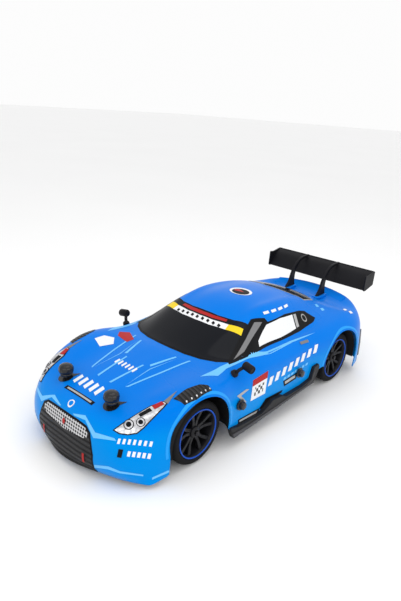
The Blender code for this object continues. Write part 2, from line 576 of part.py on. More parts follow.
def steering_knuckle(side, name):
    """Upright that turns on the kingpin, with its axle tube and steering arm."""
    x, y = FRONT_AXLE, side * KINGPIN_Y
    post = rod(name, BLACK, (x, y, 13.3), (x, y, 31.1), 3.3, 16)
    tube = rod("tube", None, (x, side * 34.4, 22), (x, side * 41.0, 22), 4.4, 16)
    lever = flat("lever", None, [[(x, y - side * 1.5), (x, y + side * 2.0), (TIE_BAR_X - 2.4, side * 36.6),
                                  (TIE_BAR_X - 2.4, side * 33.0), (TIE_BAR_X + 2.4, side * 33.0)]], 26.0, 28.6)
    joined(post, tube, lever)
    bored(post, rod("axle_way", None, (x, side * 32, 22), (x, side * 43, 22), 2.6, 14))
    return origin_at(post, (x, y, 22))


def hinge_pins(axle, way, name):
    """The two hinge pins of one axle, bent from the ends of one cross bar."""
    pins = []
    for side in (1, -1):
        near, far = axle - way * 14.2, axle + way * 15.6
        pins.append(rod("pin", STEEL, (near, side * HINGE_Y, HINGE_Z), (far, side * HINGE_Y, HINGE_Z), 1.0, 10))
    bar = sorted((axle + way * 14.9, axle + way * 16.5))
    return joined(block(name, STEEL, bar, (-19.4, 19.4), (10.9, 13.1)), *pins)


for end, axle, way in (("front", FRONT_AXLE, 1), ("rear", REAR_AXLE, -1)):
    hinge_pins(axle, way, f"{end}_hinge_pins")
    for side, word in ((1, "left"), (-1, "right")):
        suspension_arm(axle, way, side, f"{end}_arm_{word}", end == "front")
        shock_rod(axle, way, side, f"{end}_shock_rod_{word}")
        spring(axle, way, side, f"{end}_spring_{word}")

for side, word in ((1, "left"), (-1, "right")):
    steering_knuckle(side, f"steering_knuckle_{word}")
    half_shaft = rod(f"front_drive_shaft_{word}", STEEL, (FRONT_AXLE, side * 15, 22),
                     (FRONT_AXLE, side * 33.2, 22), 1.7, 12)
    origin_at(half_shaft, (FRONT_AXLE, side * 24, 22))

tie = flat("tie_bar", BLACK, [[(TIE_BAR_X - 2, -37), (TIE_BAR_X + 2, -37), (TIE_BAR_X + 2, 37), (TIE_BAR_X - 2, 37)]],
           30.4, 32.8)
origin_at(tie, (TIE_BAR_X, 0, 31.6))
sx, sy = SERVO_AXIS
horn = flat("servo_horn", GEAR, [[(sx - 3, sy - 3.5), (sx + 14, sy - 1.8), (sx + 14, sy + 1.8), (sx - 3, sy + 3.5)]],
            27.0, 29.4)
origin_at(horn, (sx, sy, 28.2))


# ---------------------------------------------------------------- wheels
def rim(axle, side, name):
    """Barrel with a dished face of five forked spokes and a hexagon hub."""
    centre = (axle, side * 50.0, WHEEL_RADIUS)
    barrel = turned(name, RIM_BLACK, [(RIM_RADIUS, 9.6), (RIM_RADIUS, -9.6), (15.2, -9.6), (15.2, 9.6)],
                    centre, side, 24)
    outer = side * 59.4
    hub = rod("hub", None, (axle, side * 43.5, WHEEL_RADIUS), (axle, outer - side * 1.2, WHEEL_RADIUS), 4.0, 12)
    stub = rod("stub", None, (axle, side * 39.0, WHEEL_RADIUS), (axle, side * 44, WHEEL_RADIUS), 1.9, 12)
    spokes = []
    for index in range(5):
        for lean in (-1, 1):
            root = math.radians(72 * index + 90 + lean * 16)
            reach = math.radians(72 * index + 90 + lean * 13)
            start = Vector((math.cos(root) * 2.8, 0, math.sin(root) * 2.8))
            end = Vector((math.cos(reach) * 16.2, 0, math.sin(reach) * 16.2))
            along = end - start
            bpy.ops.mesh.primitive_cube_add(size=1.0)
            bar = bpy.context.object
            bar.data.transform(Matrix.Diagonal((along.length * MM, 3.4 * MM, 2.3 * MM, 1.0)))
            turn = math.atan2(along.z, along.x)
            bar.matrix_world = (
                Matrix.Translation((Vector((axle, outer - side * 3.0, WHEEL_RADIUS)) + (start + end) / 2) * MM)
                @ Matrix.Rotation(-turn, 4, "Y")
            )
            spokes.append(bar)
    joined(barrel, hub, stub, *spokes)
    return barrel


def tyre(axle, side, name):
    profile = [(WHEEL_RADIUS, 8.0), (WHEEL_RADIUS, -8.0), (WHEEL_RADIUS - 0.7, -9.4), (WHEEL_RADIUS - 2.2, -10.0),
               (17.4, -10.0), (17.3, 10.0), (WHEEL_RADIUS - 2.2, 10.0), (WHEEL_RADIUS - 0.7, 9.4)]
    return turned(name, RUBBER, profile, (axle, side * 50.0, WHEEL_RADIUS), side, 28)


for end, axle in (("front", FRONT_AXLE), ("rear", REAR_AXLE)):
    for side, word in ((1, "left"), (-1, "right")):
        rim(axle, side, f"{end}_rim_{word}")
        tyre(axle, side, f"{end}_tyre_{word}")
        if end == "rear":
            shaft = rod(f"rear_drive_shaft_{word}", STEEL, (axle, side * 15, WHEEL_RADIUS),
                        (axle, side * 38.7, WHEEL_RADIUS), 1.7, 12)
            origin_at(shaft, (axle, side * 24, WHEEL_RADIUS))
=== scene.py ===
"""A 1:16 radio-controlled touring car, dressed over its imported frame."""
import json
import math

import bmesh
import bpy
from mathutils import Matrix, Vector
from mathutils.bvhtree import BVHTree
from mathutils.geometry import delaunay_2d_cdt


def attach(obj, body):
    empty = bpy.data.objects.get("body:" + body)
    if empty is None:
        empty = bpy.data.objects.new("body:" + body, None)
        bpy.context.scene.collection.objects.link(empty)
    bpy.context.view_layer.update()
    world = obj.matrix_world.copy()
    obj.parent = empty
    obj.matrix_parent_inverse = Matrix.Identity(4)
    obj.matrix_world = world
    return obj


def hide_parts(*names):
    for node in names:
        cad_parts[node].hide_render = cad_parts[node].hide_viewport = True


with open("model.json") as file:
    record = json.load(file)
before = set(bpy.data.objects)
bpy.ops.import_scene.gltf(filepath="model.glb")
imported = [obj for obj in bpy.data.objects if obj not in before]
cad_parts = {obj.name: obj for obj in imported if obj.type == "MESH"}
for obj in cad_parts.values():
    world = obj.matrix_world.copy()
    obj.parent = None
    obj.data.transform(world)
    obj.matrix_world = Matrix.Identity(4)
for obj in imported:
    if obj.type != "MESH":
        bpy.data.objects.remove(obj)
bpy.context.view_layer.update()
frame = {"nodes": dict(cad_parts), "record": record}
MM = 0.001

# ------------------------------------------------------------------ camera, floor and light
# A three-quarter view from the left front corner, a little above the roof. The floor is a
# pale sheet and the light is three large soft panels under an even white sky.
lens_mm = 32.47
eye = Vector((0.3153, 0.2545, 0.2187))
turn, rise, roll = math.radians(131.55), math.radians(19.56), math.radians(3.84)
back = Vector((math.sin(turn) * math.cos(rise), -math.cos(turn) * math.cos(rise), math.sin(rise)))
right = Vector((0, 0, 1)).cross(back).normalized()
up = back.cross(right)
right, up = (math.cos(roll) * right + math.sin(roll) * up, math.cos(roll) * up - math.sin(roll) * right)
camera = bpy.data.objects.new("camera", bpy.data.cameras.new("camera"))
camera.data.lens = lens_mm
camera.data.sensor_width = 36
camera.data.clip_start = 0.01
camera.matrix_world = Matrix((
    (right.x, up.x, back.x, eye.x),
    (right.y, up.y, back.y, eye.y),
    (right.z, up.z, back.z, eye.z),
    (0, 0, 0, 1),
))
bpy.context.scene.collection.objects.link(camera)
bpy.context.scene.camera = camera


def soft_panel(name, place, target, size, power):
    lamp = bpy.data.lights.new(name, "AREA")
    lamp.shape = "RECTANGLE"
    lamp.size, lamp.size_y = size
    lamp.energy = power
    holder = bpy.data.objects.new(name, lamp)
    holder.location = place
    holder.rotation_euler = (Vector(target) - Vector(place)).to_track_quat("-Z", "Y").to_euler()
    bpy.context.scene.collection.objects.link(holder)


soft_panel("overhead_panel", (0.0, 0.1, 0.75), (0, 0, 0), (0.7, 0.5), 1.3)
soft_panel("front_panel", (0.75, 0.25, 0.35), (0.05, 0, 0.03), (0.5, 0.4), 0.8)
soft_panel("side_panel", (0.1, 0.8, 0.35), (0, 0, 0.03), (0.6, 0.35), 1.0)

sky = bpy.data.worlds.new("white_room")
sky.use_nodes = True
sky.node_tree.nodes["Background"].inputs["Color"].default_value = (1, 1, 1, 1)
sky.node_tree.nodes["Background"].inputs["Strength"].default_value = 0.98
bpy.context.scene.world = sky
bpy.context.scene.view_settings.view_transform = "Standard"


class Flow:
    """A value in a material's node tree. Arithmetic between values adds Math nodes."""

    def __init__(self, tree, socket=None):
        self.tree = tree
        self.socket = socket

    def node(self, kind, settings=None, inputs=None, output=0):
        made = self.tree.nodes.new(kind)
        for key, setting in (settings or {}).items():
            setattr(made, key, setting)
        for key, value in (inputs or {}).items():
            if isinstance(value, Flow):
                self.tree.links.new(value.socket, made.inputs[key])
            elif isinstance(value, tuple) and len(value) == 3 and made.inputs[key].type == "RGBA":
                made.inputs[key].default_value = (*value, 1)
            else:
                made.inputs[key].default_value = value
        return Flow(self.tree, made.outputs[output])

    def _math(self, operation, first, second=0.0):
        return self.node("ShaderNodeMath", {"operation": operation}, {0: first, 1: second})

    def __add__(self, other):
        return self._math("ADD", self, other)

    def __radd__(self, other):
        return self._math("ADD", other, self)

    def __sub__(self, other):
        return self._math("SUBTRACT", self, other)

    def __mul__(self, other):
        return self._math("MULTIPLY", self, other)

    def __rmul__(self, other):
        return self._math("MULTIPLY", other, self)

    def __gt__(self, other):
        return self._math("GREATER_THAN", self, other)

    def blend(self, first, second):
        """Mixes two colours by this value."""
        return self.node("ShaderNodeMix", {"data_type": "RGBA"}, {0: self, 6: first, 7: second}, 2)

    def noise(self, scale, detail=2.0):
        place = self.node("ShaderNodeTexCoord", output=3)
        return self.node("ShaderNodeTexNoise", {}, {"Vector": place, "Scale": scale, "Detail": detail})

    def axis(self, letter):
        """Object position along one axis, in metres."""
        place = self.node("ShaderNodeTexCoord", output=3)
        return self.node("ShaderNodeSeparateXYZ", {}, {"Vector": place}, "XYZ".index(letter))

    def bump(self, height, distance, strength=1.0):
        return self.node("ShaderNodeBump", {},
                         {"Height": height, "Distance": distance, "Strength": strength})


def finish(name, **values):
    """A material with one Principled shader; values are fixed numbers for its sockets."""
    made = bpy.data.materials.new(name)
    made.use_nodes = True
    shader = made.node_tree.nodes["Principled BSDF"]
    for key, value in values.items():
        socket = shader.inputs[key.replace("_", " ")]
        socket.default_value = (*value, 1) if isinstance(value, tuple) else value
    flow = Flow(made.node_tree)
    flow.shader = shader
    flow.made = made
    flow.feed = lambda key, value: made.node_tree.links.new(value.socket, shader.inputs[key])
    return flow


def mottled(name, tone, dark, light, rough, grain=None, **values):
    """A finish that wanders between two colours, tone and grain being noise scales and rough a
    value and its spread."""
    made = finish(name, **values)
    cloud = made.noise(tone)
    made.feed("Base Color", cloud.blend(dark, light))
    made.feed("Roughness", rough[0] + (made.noise(grain) if grain else cloud) * rough[1])
    return made


floor_sheet = finish("floor_sheet", Roughness=0.7)
floor_sheet.feed("Base Color", floor_sheet.noise(3.0).blend((0.90, 0.90, 0.90), (0.93, 0.93, 0.93)))
bpy.ops.mesh.primitive_plane_add(size=24.0, location=(0, 0, -0.0006))
floor = bpy.context.object
floor.name = "floor"
floor.data.materials.append(floor_sheet.made)

# ------------------------------------------------------------------ painted shell
# One thin moulding in blue lacquer, from nose to boot lid, with the wheel openings cut out.
# The half sections run from the centre line over the shoulder to the sill, nose first.
sections = [[(151, 0, 4), (150, 10, 4), (147.4, 20, 4), (143.6, 30, 3.5), (139.4, 40, 3),
             (134.9, 49, 2.8), (131.2, 55, 2.8), (128, 58.9, 3), (122.5, 60.4, 4), (117.5, 61, 4.5)],
            [(151, 0, 12), (150.9, 10, 12), (150.2, 20, 12), (148.3, 30, 12), (144.8, 40.3, 11.5),
             (139.7, 48.8, 11.5), (132.5, 55.3, 11), (125.6, 59.1, 10.5), (119.5, 61, 9.5),
             (116, 61.8, 6)],
            [(149.5, 0, 24), (149.5, 10, 24), (149.2, 20, 24), (148.2, 30, 24), (145.4, 40, 24),
             (140, 48.6, 24), (132, 55.3, 23.5), (122, 60.1, 20), (115.5, 62.3, 13), (113, 62.5, 6)],
            [(147.5, 0, 34), (147.4, 9, 34), (147, 18, 34), (146.2, 27.5, 34), (143.2, 38, 34.5),
             (136.6, 47.4, 35), (127.6, 55.2, 34), (117, 61, 28), (111, 63.5, 17), (109, 63.5, 6)],
            [(143.5, 0, 40), (143.3, 9, 40), (142.5, 18, 40), (140.4, 27, 40), (136.4, 37, 41),
             (128.6, 47.3, 43.5), (118.4, 57, 43), (109, 62.5, 34), (105, 64.8, 20), (104, 64.3, 6)],
            [(134, 0, 43.5), (133.5, 9, 43.5), (132, 18, 43.5), (129, 27, 43.8), (124, 36, 45),
             (116, 47, 48), (108, 58.5, 48), (101, 64.2, 38), (98, 65.7, 21), (97, 65.2, 6)],
            [(118, 0, 47.5), (117.5, 9, 47.5), (116.5, 18, 47.2), (114, 27, 47.2), (110, 36, 48.6),
             (103, 47, 52), (97, 59.3, 51.5), (93, 65, 41), (91, 66.3, 22), (90, 65.5, 6)],
            [(101, 0, 50.8), (100.5, 9, 50.8), (99.5, 18, 50.5), (97.5, 27, 50.5), (94, 36, 51.8),
             (89.5, 47, 54), (86, 59.3, 53), (83, 65, 42.5), (82, 66, 23), (82, 65.5, 6)],
            [(84, 0, 53.5), (84, 9, 53.5), (83, 18, 53.2), (81.5, 27, 53), (79, 36, 53.6),
             (76, 47, 54.5), (74, 58.5, 52.5), (72, 64, 42), (71, 65, 26), (70, 64.5, 17)],
            [(70, 0, 55.6), (70, 9, 55.5), (69, 18, 55.2), (67.5, 27, 54.8), (65.5, 36.5, 54.4),
             (63.5, 47, 54), (62.5, 57, 51), (61.5, 62, 42), (61, 63, 26), (60, 63, 14)],
            [(58, 0, 57.6), (57.7, 10, 57.5), (56.8, 20, 57), (55, 30, 56.2), (50, 42, 55),
             (50, 49, 54), (50, 56.5, 50.5), (50, 61, 42), (50, 62, 26), (50, 62, 9.2)],
            [(32, 0, 69), (31, 13, 68.8), (30, 26, 67.8), (27.5, 38, 65), (30, 50, 56), (30, 54, 53.5),
             (30, 58.5, 49.5), (30, 61, 42), (30, 61.5, 26), (30, 61.5, 11)],
            [(6, 0, 79), (5.5, 12.5, 78.6), (4.5, 25, 77), (4, 35.5, 73.5), (8, 48.5, 56.5),
             (8, 54, 53.5), (8, 59, 49), (8, 61, 42), (8, 61.5, 26), (8, 61.5, 13.2)],
            [(-18, 0, 81), (-18, 12.5, 80.6), (-18, 25, 79), (-18, 35.5, 75.3), (-16, 48.5, 57),
             (-16, 54.5, 53.5), (-16, 59.5, 48.5), (-16, 61.3, 42), (-16, 61.7, 26), (-16, 61.7, 15.2)],
            [(-42, 0, 80), (-42, 12, 79.6), (-42, 24, 78), (-42, 34, 74), (-40, 47.5, 57.5),
             (-40, 54.5, 54.3), (-40, 60, 49.5), (-40, 62, 42), (-40, 62.3, 28), (-40, 62.2, 17)],
            [(-64, 0, 76.5), (-64, 11.5, 76), (-64, 23, 74.3), (-64, 32.5, 70.2), (-60, 46.5, 59),
             (-60, 55, 55.5), (-61, 61.5, 50.5), (-61, 64.3, 42), (-60, 64.5, 32), (-58.5, 64.2, 24)],
            [(-85, 0, 70.5), (-85, 11.5, 70), (-85, 22.5, 68.3), (-84, 32.5, 64.8), (-82, 45, 59.5),
             (-82, 56, 56.5), (-82, 63, 51), (-82, 66, 42), (-81, 66.3, 25), (-80, 66, 6)],
            [(-106, 0, 62), (-106, 11.5, 61.7), (-105, 23, 61), (-104, 34, 60), (-102, 45, 59.2),
             (-100, 56, 57.3), (-98, 63.5, 51.5), (-96, 66.3, 42), (-95, 66.5, 25), (-95, 66, 6)],
            [(-123, 0, 58.2), (-122.5, 12, 58.2), (-121.5, 24, 58), (-119.5, 36, 57.8),
             (-116.5, 46.5, 57.6), (-113, 56, 56.5), (-110, 63, 50.5), (-107, 65.5, 42), (-106, 66, 25),
             (-105, 65.5, 6)],
            [(-139, 0, 62.5), (-138.5, 12, 62.4), (-137, 24, 62), (-134, 36, 60.8), (-129, 46.5, 58.5),
             (-123.5, 55, 54.5), (-120, 60.5, 48.5), (-117, 63.5, 40), (-116, 64.5, 24), (-114, 64, 7)],
            [(-143, 0, 57), (-142.6, 12, 57), (-141, 24, 56.5), (-138, 36, 55.2), (-133, 46, 52.5),
             (-128, 54, 48), (-125, 58.5, 42), (-123, 61, 34), (-121.5, 62.5, 21), (-120, 62.5, 7)],
            [(-144.5, 0, 40), (-144, 12, 40), (-142.5, 24, 39.5), (-139.5, 36, 38.5), (-135, 45.5, 37),
             (-130.5, 53, 34), (-128, 57, 30), (-126.5, 59.5, 24), (-125.5, 61, 16), (-124, 61.5, 7)],
            [(-145, 0, 24), (-144.5, 12, 24), (-143, 24, 24), (-140, 35.5, 23.5), (-136, 45, 22.5),
             (-132, 52, 21), (-129.5, 56, 19), (-128, 58.5, 16), (-127, 60, 12), (-126, 60.8, 7)],
            [(-144, 0, 9), (-143.5, 12, 9), (-142, 24, 9), (-139, 35, 9), (-135.5, 44, 9),
             (-132, 51, 9), (-130, 55, 9), (-129, 57.5, 8.5), (-128, 59, 8), (-127, 60, 7)], ]
arch_radius, wheel_height, wheel_middle = 27.0, 22.0, 50.0
axles = {"front": 89.0, "rear": -85.0}
sides = ((1, "left"), (-1, "right"))
shell_wall = 0.8


def fitted(targets, rounds=10):
    """A cage whose subdivided surface passes through the targets, found by repeated correction."""
    rows, columns = len(targets), len(targets[0])
    cage = [[Vector(p) for p in row] for row in targets]

    def at(i, j):
        if j < 0:
            x, y, z = cage[i][-j]
            return Vector((x, -y, z))
        return cage[i][j]

    def surface(i, j):
        end_row, end_column = i in (0, rows - 1), j == columns - 1
        if end_row and end_column:
            near = at(i, j - 1) + at(1 if i == 0 else rows - 2, j)
            return (near + 4 * cage[i][j]) / 6
        if end_row:
            return (at(i, j - 1) + at(i, j + 1) + 4 * cage[i][j]) / 6
        if end_column:
            return (at(i - 1, j) + at(i + 1, j) + 4 * cage[i][j]) / 6
        sides = at(i - 1, j) + at(i + 1, j) + at(i, j - 1) + at(i, j + 1)
        corners = at(i - 1, j - 1) + at(i - 1, j + 1) + at(i + 1, j - 1) + at(i + 1, j + 1)
        return (16 * cage[i][j] + 4 * sides + corners) / 36

    for _ in range(rounds):
        error = [[Vector(targets[i][j]) - surface(i, j) for j in range(columns)] for i in range(rows)]
        for i in range(rows):
            for j in range(columns):
                cage[i][j] += error[i][j]
            cage[i][0].y = 0.0
    return cage


def new_piece(name, mesh, material, body):
    piece = bpy.data.objects.new(name, mesh)
    bpy.context.scene.collection.objects.link(piece)
    mesh.materials.clear()
    mesh.materials.append(material.made)
    mesh.shade_smooth()
    mesh.set_sharp_from_angle(angle=math.radians(38))
    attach(piece, body)
    return piece


def settled(piece):
    """Applies a piece's modifiers."""
    bpy.context.view_layer.update()
    solid = bpy.data.meshes.new_from_object(piece.evaluated_get(bpy.context.evaluated_depsgraph_get()))
    piece.modifiers.clear()
    piece.data = solid


def drum(radius, x, y0, y1, z, sides=64):
    """A cutter along Y."""
    form = bmesh.new()
    bmesh.ops.create_cone(form, cap_ends=True, segments=sides, radius1=radius * MM, radius2=radius * MM,
                          depth=abs(y1 - y0) * MM,
                          matrix=Matrix.Translation((x * MM, (y0 + y1) / 2 * MM, z * MM))
                          @ Matrix.Rotation(math.pi / 2, 4, "X"))
    mesh = bpy.data.meshes.new("cutter")
    form.to_mesh(mesh)
    form.free()
    tool = bpy.data.objects.new("cutter", mesh)
    bpy.context.scene.collection.objects.link(tool)
    return tool


def minus(piece, tools):
    """Cuts the tools out of the piece and removes them."""
    for tool in tools:
        step = piece.modifiers.new("cut", "BOOLEAN")
        step.operation = "DIFFERENCE"
        step.object = tool
    settled(piece)
    for tool in tools:
        bpy.data.objects.remove(tool)


lacquer = finish("blue_lacquer", Coat_Weight=0.02, Specular_IOR_Level=0.09,
                 Specular_Tint=(0.05, 0.5, 1.0))
height, length = lacquer.axis("Z"), lacquer.axis("X")
pearl = lacquer.noise(2600.0, 3.0)
cloudy = lacquer.noise(14.0, 2.0)
# Painted light: the lacquer turns paler downwards from 46 mm to 30 mm above the floor, so the sides are
# painted lighter than the bonnet and roof.
painted_side_light = lacquer.node("ShaderNodeMapRange", {"interpolation_type": "SMOOTHSTEP"},
                          {0: height, 1: 0.046, 2: 0.030, 3: 0.0, 4: 1.0})
deep = cloudy.blend((0.0, 0.155, 0.64), (0.0, 0.180, 0.70))
pale = cloudy.blend((0.0, 0.22, 0.67), (0.0, 0.25, 0.71))
tint = painted_side_light.blend(deep, pale)
fleck = (pearl > 0.62) * 0.10
lacquer.feed("Base Color", fleck.blend(tint, (0.01, 0.34, 0.84)))
lacquer.feed("Roughness", 0.24 + cloudy * 0.10)
lacquer.feed("Normal", lacquer.bump(lacquer.noise(60.0, 1.0), 0.00012, 0.25))

cage = fitted(sections)
columns = len(cage[0])
shell_mesh = bpy.data.meshes.new("painted_shell")
shell_mesh.from_pydata(
    [p * MM for row in cage for p in row], [],
    [(i * columns + j, i * columns + j + 1, (i + 1) * columns + j + 1, (i + 1) * columns + j)
     for i in range(len(cage) - 1) for j in range(columns - 1)])
shell = bpy.data.objects.new("painted_shell", shell_mesh)
bpy.context.scene.collection.objects.link(shell)
halves = shell.modifiers.new("halves", "MIRROR")
halves.use_axis = (False, True, False)
halves.merge_threshold = 0.00001
rounding = shell.modifiers.new("rounding", "SUBSURF")
rounding.levels = rounding.render_levels = 3
settled(shell)
skin = BVHTree.FromObject(shell, bpy.context.evaluated_depsgraph_get())
wall = shell.modifiers.new("wall", "SOLIDIFY")
wall.thickness = shell_wall * MM
wall.offset = -1.0
arch_tools = []
for axle_x in axles.values():
    for side in (1, -1):
        arch_tools.append(drum(arch_radius, axle_x, side * 57, side * 75, wheel_height))
        foot = drum(arch_radius * math.sqrt(2), axle_x, side * 57, side * 75,
                    wheel_height - arch_radius, 4)
        foot.data.transform(Matrix.Translation((axle_x * MM, 0, (wheel_height - arch_radius) * MM))
                            @ Matrix.Rotation(math.pi / 4, 4, "Y")
                            @ Matrix.Translation((-axle_x * MM, 0, -(wheel_height - arch_radius) * MM)))
        arch_tools.append(foot)
minus(shell, arch_tools)
shell.data.materials.clear()
shell.data.materials.append(lacquer.made)
shell.data.shade_smooth()
shell.data.set_sharp_from_angle(angle=math.radians(40))
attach(shell, "shell")
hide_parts("body_shell")

# ------------------------------------------------------------------ printed and fitted panels, painted highlights
# The glazing, lamps, grille and race markings are printed film and thin mouldings laid on the shell,
# and the pale-blue marks along creases, edges and wheel openings are painted highlights. Each is an
# outline laid on the surface, so it follows every curve below it.
looks_from = {
    "top": (Vector((0, 0, 1)), lambda a, b: Vector((a, b, 200))),
    "side": (Vector((0, 1, 0)), lambda a, b: Vector((a, 200, b))),
    "front": (Vector((1, 0, 0)), lambda a, b: Vector((300, a, b))),
    "rear": (Vector((-1, 0, 0)), lambda a, b: Vector((-300, a, b))),
}
corner_aim = Vector((0.62, 0.45, 0.64)).normalized()
corner_across = corner_aim.cross(Vector((0, 0, 1))).normalized()
corner_up = corner_across.cross(corner_aim)
looks_from["corner"] = (corner_aim, lambda a, b: corner_aim * 300 + corner_across * a + corner_up * b)


def on_corner(*points):
    """Places in the view from the left front corner, of points given in millimetres."""
    return [(Vector(point).dot(corner_across), Vector(point).dot(corner_up)) for point in points]


def laid(name, material, outline, facing, lift=0.15, flip=1, spacing=2.2):
    """A film cut to an outline in one of the views above and laid on the shell."""
    aim, start = looks_from[facing]
    aim = Vector((aim.x, aim.y * flip, aim.z))
    edge = []
    for index, (a, b) in enumerate(outline):
        a2, b2 = outline[(index + 1) % len(outline)]
        parts = max(1, int(math.hypot(a2 - a, b2 - b) / spacing))
        edge += [Vector((a + (a2 - a) * k / parts, b + (b2 - b) * k / parts)) for k in range(parts)]
    points = list(edge)
    low = [min(p[k] for p in edge) for k in (0, 1)]
    high = [max(p[k] for p in edge) for k in (0, 1)]
    for i in range(int((high[0] - low[0]) / spacing) + 2):
        for j in range(int((high[1] - low[1]) / spacing) + 2):
            points.append(Vector((low[0] + i * spacing, low[1] + j * spacing)))
    rim = [(i, (i + 1) % len(edge)) for i in range(len(edge))]
    flat_points, _, faces, *_ = delaunay_2d_cdt(points, rim, [list(range(len(edge)))], 1, 0.001)
    used = sorted({i for face in faces for i in face})
    places = {}
    for i in used:
        beam = start(*flat_points[i])
        beam.y *= flip
        hit, face_normal, *_ = skin.ray_cast(beam * MM, -aim)
        if hit is not None:
            if face_normal.dot(aim) < 0:
                face_normal = -face_normal
            places[i] = hit + face_normal * lift * MM
    order = {i: k for k, i in enumerate(places)}
    mesh = bpy.data.meshes.new(name)
    mesh.from_pydata(list(places.values()), [],
                     [[order[i] for i in face] for face in faces if all(i in order for i in face)])
    form = bmesh.new()
    form.from_mesh(mesh)
    bmesh.ops.recalc_face_normals(form, faces=form.faces)
    wanted = sum((f.normal for f in form.faces), Vector())
    if wanted.dot(aim) < 0:
        bmesh.ops.reverse_faces(form, faces=form.faces)
    form.to_mesh(mesh)
    form.free()
    new_piece(name, mesh, material, "shell")


def both(name, material, outline, facing, lift=0.15, spacing=2.2):
    """The same film on the left and, mirrored, on the right."""
    for side, word in sides:
        laid(f"{name}_{word}", material, outline, facing, lift, side, spacing)


def bar(centre, length, width, lean=0.0, shear=0.0):
    """A slanted bar's outline about a centre, turned by lean in degrees."""
    c, s = math.cos(math.radians(lean)), math.sin(math.radians(lean))
    corners = [(-length / 2 - shear, -width / 2), (length / 2 - shear, -width / 2),
               (length / 2 + shear, width / 2), (-length / 2 + shear, width / 2)]
    return [(centre[0] + a * c - b * s, centre[1] + a * s + b * c) for a, b in corners]


def oval(centre, wide, tall, count=20):
    return [(centre[0] + wide * math.cos(2 * math.pi * k / count),
             centre[1] + tall * math.sin(2 * math.pi * k / count)) for k in range(count)]


def film(name, colour, roughness=0.25, **values):
    """Printed film, also used for painted highlights: an even ink with a faint dot screen under gloss.
    """
    ink = finish(name,
                 **{"Coat_Weight": 0.02, "Coat_Roughness": 0.05, "Specular_IOR_Level": 0.08, **values})
    screen = ink.noise(900.0, 2.0)
    darker = tuple(part * 0.86 for part in colour)
    ink.feed("Base Color", screen.blend(darker, colour))
    ink.feed("Roughness", roughness + screen * 0.08)
    return ink


glazing = film("smoked_glazing", (0.006, 0.007, 0.010), 0.12)
gasket = film("black_gasket", (0.006, 0.006, 0.007), 0.4)
pillar_grey = film("pillar_grey", (0.20, 0.20, 0.205), 0.35)
white_ink = film("white_ink", (0.82, 0.83, 0.85))
yellow_ink = film("yellow_ink", (0.85, 0.62, 0.02))
red_ink = film("red_ink", (0.42, 0.02, 0.02))
# The sky blue prints the door and quarter bars and also paints pale highlights along creases, edges and
# shoulders.
sky_ink_and_highlight = film("sky_blue_ink_and_painted_highlight", (0.16, 0.52, 0.92), 0.3)
# The flare blue is a painted highlight: a band paler than the lacquer round each wheel opening.
flare_highlight_paint = film("flare_painted_highlight", (0.02, 0.33, 0.86), 0.3)
silver_ink = film("silver_ink", (0.42, 0.42, 0.42), 0.35)

glass_outline = [(14.2, 36.5), (19.0, 26.0), (21.8, 13.0), (22.2, 0.0)]
glass_outline += [(x, -y) for x, y in reversed(glass_outline[:-1])]
glass_foot = [(47.3, -47.0), (54.0, -41.0), (59.6, -31.0), (63.0, -19.0), (64.4, -6.0)]
glass_outline += glass_foot + [(x, -y) for x, y in reversed(glass_foot)]
laid("windscreen_surround", gasket, glass_outline, "top", 0.10)


def shrunk(outline, amount):
    """An outline moved inwards by an amount, corner by corner."""
    area = sum(a[0] * b[1] - b[0] * a[1] for a, b in zip(outline, outline[1:] + outline[:1]))
    turn_way = 1 if area > 0 else -1
    moved = []
    for index, here in enumerate(outline):
        before, after = outline[index - 1], outline[(index + 1) % len(outline)]
        first = Vector((here[0] - before[0], here[1] - before[1])).normalized()
        second = Vector((after[0] - here[0], after[1] - here[1])).normalized()
        inward = Vector((-first.y - second.y, first.x + second.x)) * turn_way
        if inward.length > 0.05:
            inward = inward.normalized() / max(0.5, math.sqrt((1 + first.dot(second)) / 2))
        moved.append((here[0] + inward.x * amount, here[1] + inward.y * amount))
    return moved


laid("windscreen", glazing, shrunk(glass_outline, 1.6), "top", 0.24)
white_band = [(24.6, 26.0), (27.4, 13.0), (28.2, 0.0), (27.4, -13.0), (24.6, -26.0)]
banner_low = [(29.6, -27.0), (32.4, -13.5), (33.2, 0.0), (32.4, 13.5), (29.6, 27.0)]
laid("sun_strip_white", white_ink, white_band + banner_low, "top", 0.34)
both("sun_strip_yellow", yellow_ink,
     [(24.6, 26.0), (29.6, 27.0), (25.2, 38.6), (20.2, 36.4)], "top", 0.36)
laid("sun_strip_red", red_ink,
     [(21.4, 22.0), (23.4, 11.0), (24.0, 0.0), (23.4, -11.0), (21.4, -22.0),
      (23.6, -22.6), (26.2, -11.2), (26.8, 0.0), (26.2, 11.2), (23.6, 22.6)], "top", 0.33)
for index in range(9):
    along = -21 + index * 5.2
    laid(f"sun_strip_mark_{index}", gasket, bar((30.3 - abs(along) * 0.045, along), 2.3, 2.6, 0, 0.5),
         "top", 0.44)
both("pillar_trim", gasket,
     [(9.5, 34.4), (-3.6, 37.4), (-6.0, 40.4), (31.0, 50.6), (49.0, 48.6), (46.6, 43.6),
      (24.0, 38.6)], "top", 0.16)
both("pillar", pillar_grey,
     [(8.5, 37.0), (0.8, 38.6), (31.0, 47.0), (42.5, 46.8), (24, 42.0)], "top", 0.30)
window = [(34, 56.2), (22, 60.2), (-2, 69.2), (-28, 70.0), (-50, 67.5), (-58, 65.6), (-66, 59.6),
          (-60, 58.2), (-38, 56.0), (-10, 55.6), (15, 55.6)]
both("window_surround", gasket, window, "side", 0.14, 2.0)
both("door_window", white_ink,
     [(15.2, 57.6), (13.5, 60.8), (-2.5, 67.9), (-20, 68.8), (-38, 67.4), (-35, 58.4),
      (-12, 57.4)], "side", 0.30, 2.0)
